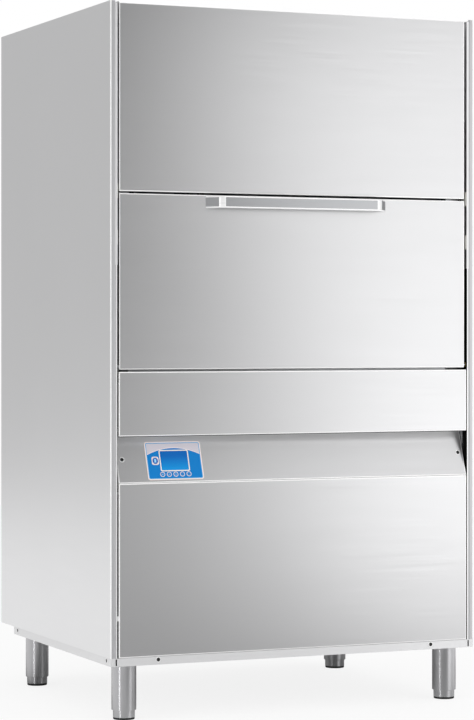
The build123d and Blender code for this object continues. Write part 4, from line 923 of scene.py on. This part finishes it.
# %% Balance springs
spring_low, spring_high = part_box("balance_springs")
coil_radius, wire_radius, coil_pitch = 0.0095, 0.0015, 0.0105
coil_inset = 0.011
coils = []
for side in (-1, 1):
    coil_x = side * (spring_high.x - coil_inset)
    coil_y = (spring_low.y + spring_high.y) / 2
    turns = int((spring_high.z - spring_low.z - 2 * wire_radius) / coil_pitch)
    bpy.ops.object.select_all(action="DESELECT")
    bpy.ops.mesh.primitive_circle_add(vertices=8, radius=wire_radius, rotation=(math.pi / 2, 0, 0),
                                      location=(coil_radius, 0, 0))
    coil = bpy.context.object
    settle(coil)
    modify(coil, "SCREW", axis="Z", angle=2 * math.pi * turns, screw_offset=turns * coil_pitch,
           steps=16 * turns, render_steps=16 * turns, use_normal_calculate=True)
    coil.location = (coil_x, coil_y, spring_low.z + wire_radius)
    settle(coil)
    coils.append(coil)
springs = join("balance_coils", coils)
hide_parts("balance_springs")
dress(springs, spring_wire, "cabinet", smooth=60)
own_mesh(springs)
print("spring turns", turns, "faces", len(springs.data.polygons))

# %% [markdown]
# ## Nozzles
#
# Each spray arm carries a row of press-in nozzles on its spray side. A nozzle is a short ring with
# a rounded lip, and the row is one piece that turns with its arm.

# %% Nozzles
wash_tip, rinse_tip, nozzle_pitch = 0.290, 0.278, 0.062
for arm, tip, faces_up in (("lower_wash_arm", wash_tip, True), ("lower_rinse_arm", rinse_tip, True),
                           ("upper_wash_arm", wash_tip, False),
                           ("upper_rinse_arm", rinse_tip, False)):
    low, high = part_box(arm)
    middle_y = (low.y + high.y) / 2
    face_z = high.z if faces_up else low.z
    rings = []
    for place_number in range(4):
        for side in (-1, 1):
            bpy.ops.object.select_all(action="DESELECT")
            bpy.ops.mesh.primitive_torus_add(
                location=(side * (tip - place_number * nozzle_pitch), middle_y, face_z),
                major_radius=0.0042, minor_radius=0.0011, major_segments=24, minor_segments=8)
            ring = bpy.context.object
            settle(ring)
            rings.append(ring)
    row = join(f"{arm}_nozzles", rings)
    dress(row, turned_steel, arm, smooth=60)

# %% [markdown]
# ## Strips beside the fixed panels
#
# A narrow strip of the inner frame shows between each post and the panels. Beside the panel it is
# painted dark as the shade deep in the gap, then comes a painted highlight as the bright line of
# its fold, and the part next to the post is ground like the post.

# %% Strip finish
strip_shade_and_highlight, tree = new_material("stainless strips beside the panels")
painted_highlight_x, ground_x = 0.4825, 0.485
place = add_node(tree, "ShaderNodeTexCoord")
split = add_node(tree, "ShaderNodeSeparateXYZ", i0=place.outputs["Object"])
from_middle = arithmetic(tree, "ABSOLUTE", split.outputs["X"])
past_painted_shade = arithmetic(tree, "GREATER_THAN", from_middle, painted_highlight_x)
past_painted_highlight = arithmetic(tree, "GREATER_THAN", from_middle, ground_x)
# Painted shade next to the panels, with no sheen, then a painted highlight, then ground steel.
colour = paint_over(tree, linear("#0C0B0A"), past_painted_shade, "#FAFAFA")
colour = paint_over(tree, colour, past_painted_highlight, "#C4C4C6")
shader = add_node(tree, "ShaderNodeBsdfPrincipled", Base_Color=colour, Metallic=0.5, Roughness=0.45,
                  Specular_IOR_Level=past_painted_shade)
add_node(tree, "ShaderNodeOutputMaterial", Surface=shader.outputs[0])

# %% [markdown]
# ## Finishes for the CAD solids
#
# What keeps its CAD shape gets the finish of its record slot, so the solids inside the machine look
# as finished as its front when the doors are open.

# %% Finishes for the CAD solids
finishes = {
    "panel_steel": ground_panel, "side_steel": painted_lighter_side_steel, "inner_steel": plain_sheet,
    "frame_steel": folded_frame, "bar_steel": turned_steel, "leg_steel": satin_tube,
    "handle_steel": satin_handle, "rubber_black": black_rubber, "hose_rubber": hose_rubber,
    "shoe_plastic": slide_plastic, "module_plastic": black_plastic, "overlay_film": film_print,
    "display_film": window_film, "key_film": film_pale, "brass": cast_brass,
    "motor_paint": motor_paint, "gland_plastic": grey_plastic, "spring_steel": spring_wire,
}
for entry in frame["record"]["subparts"]:
    solid = nodes[entry["node"]]
    solid.data.materials.clear()
    solid.data.materials.append(finishes[entry["material_slot"]])
# The strip with its painted shade and highlight goes on the front subframe.
nodes["front_subframe"].data.materials[0] = strip_shade_and_highlight
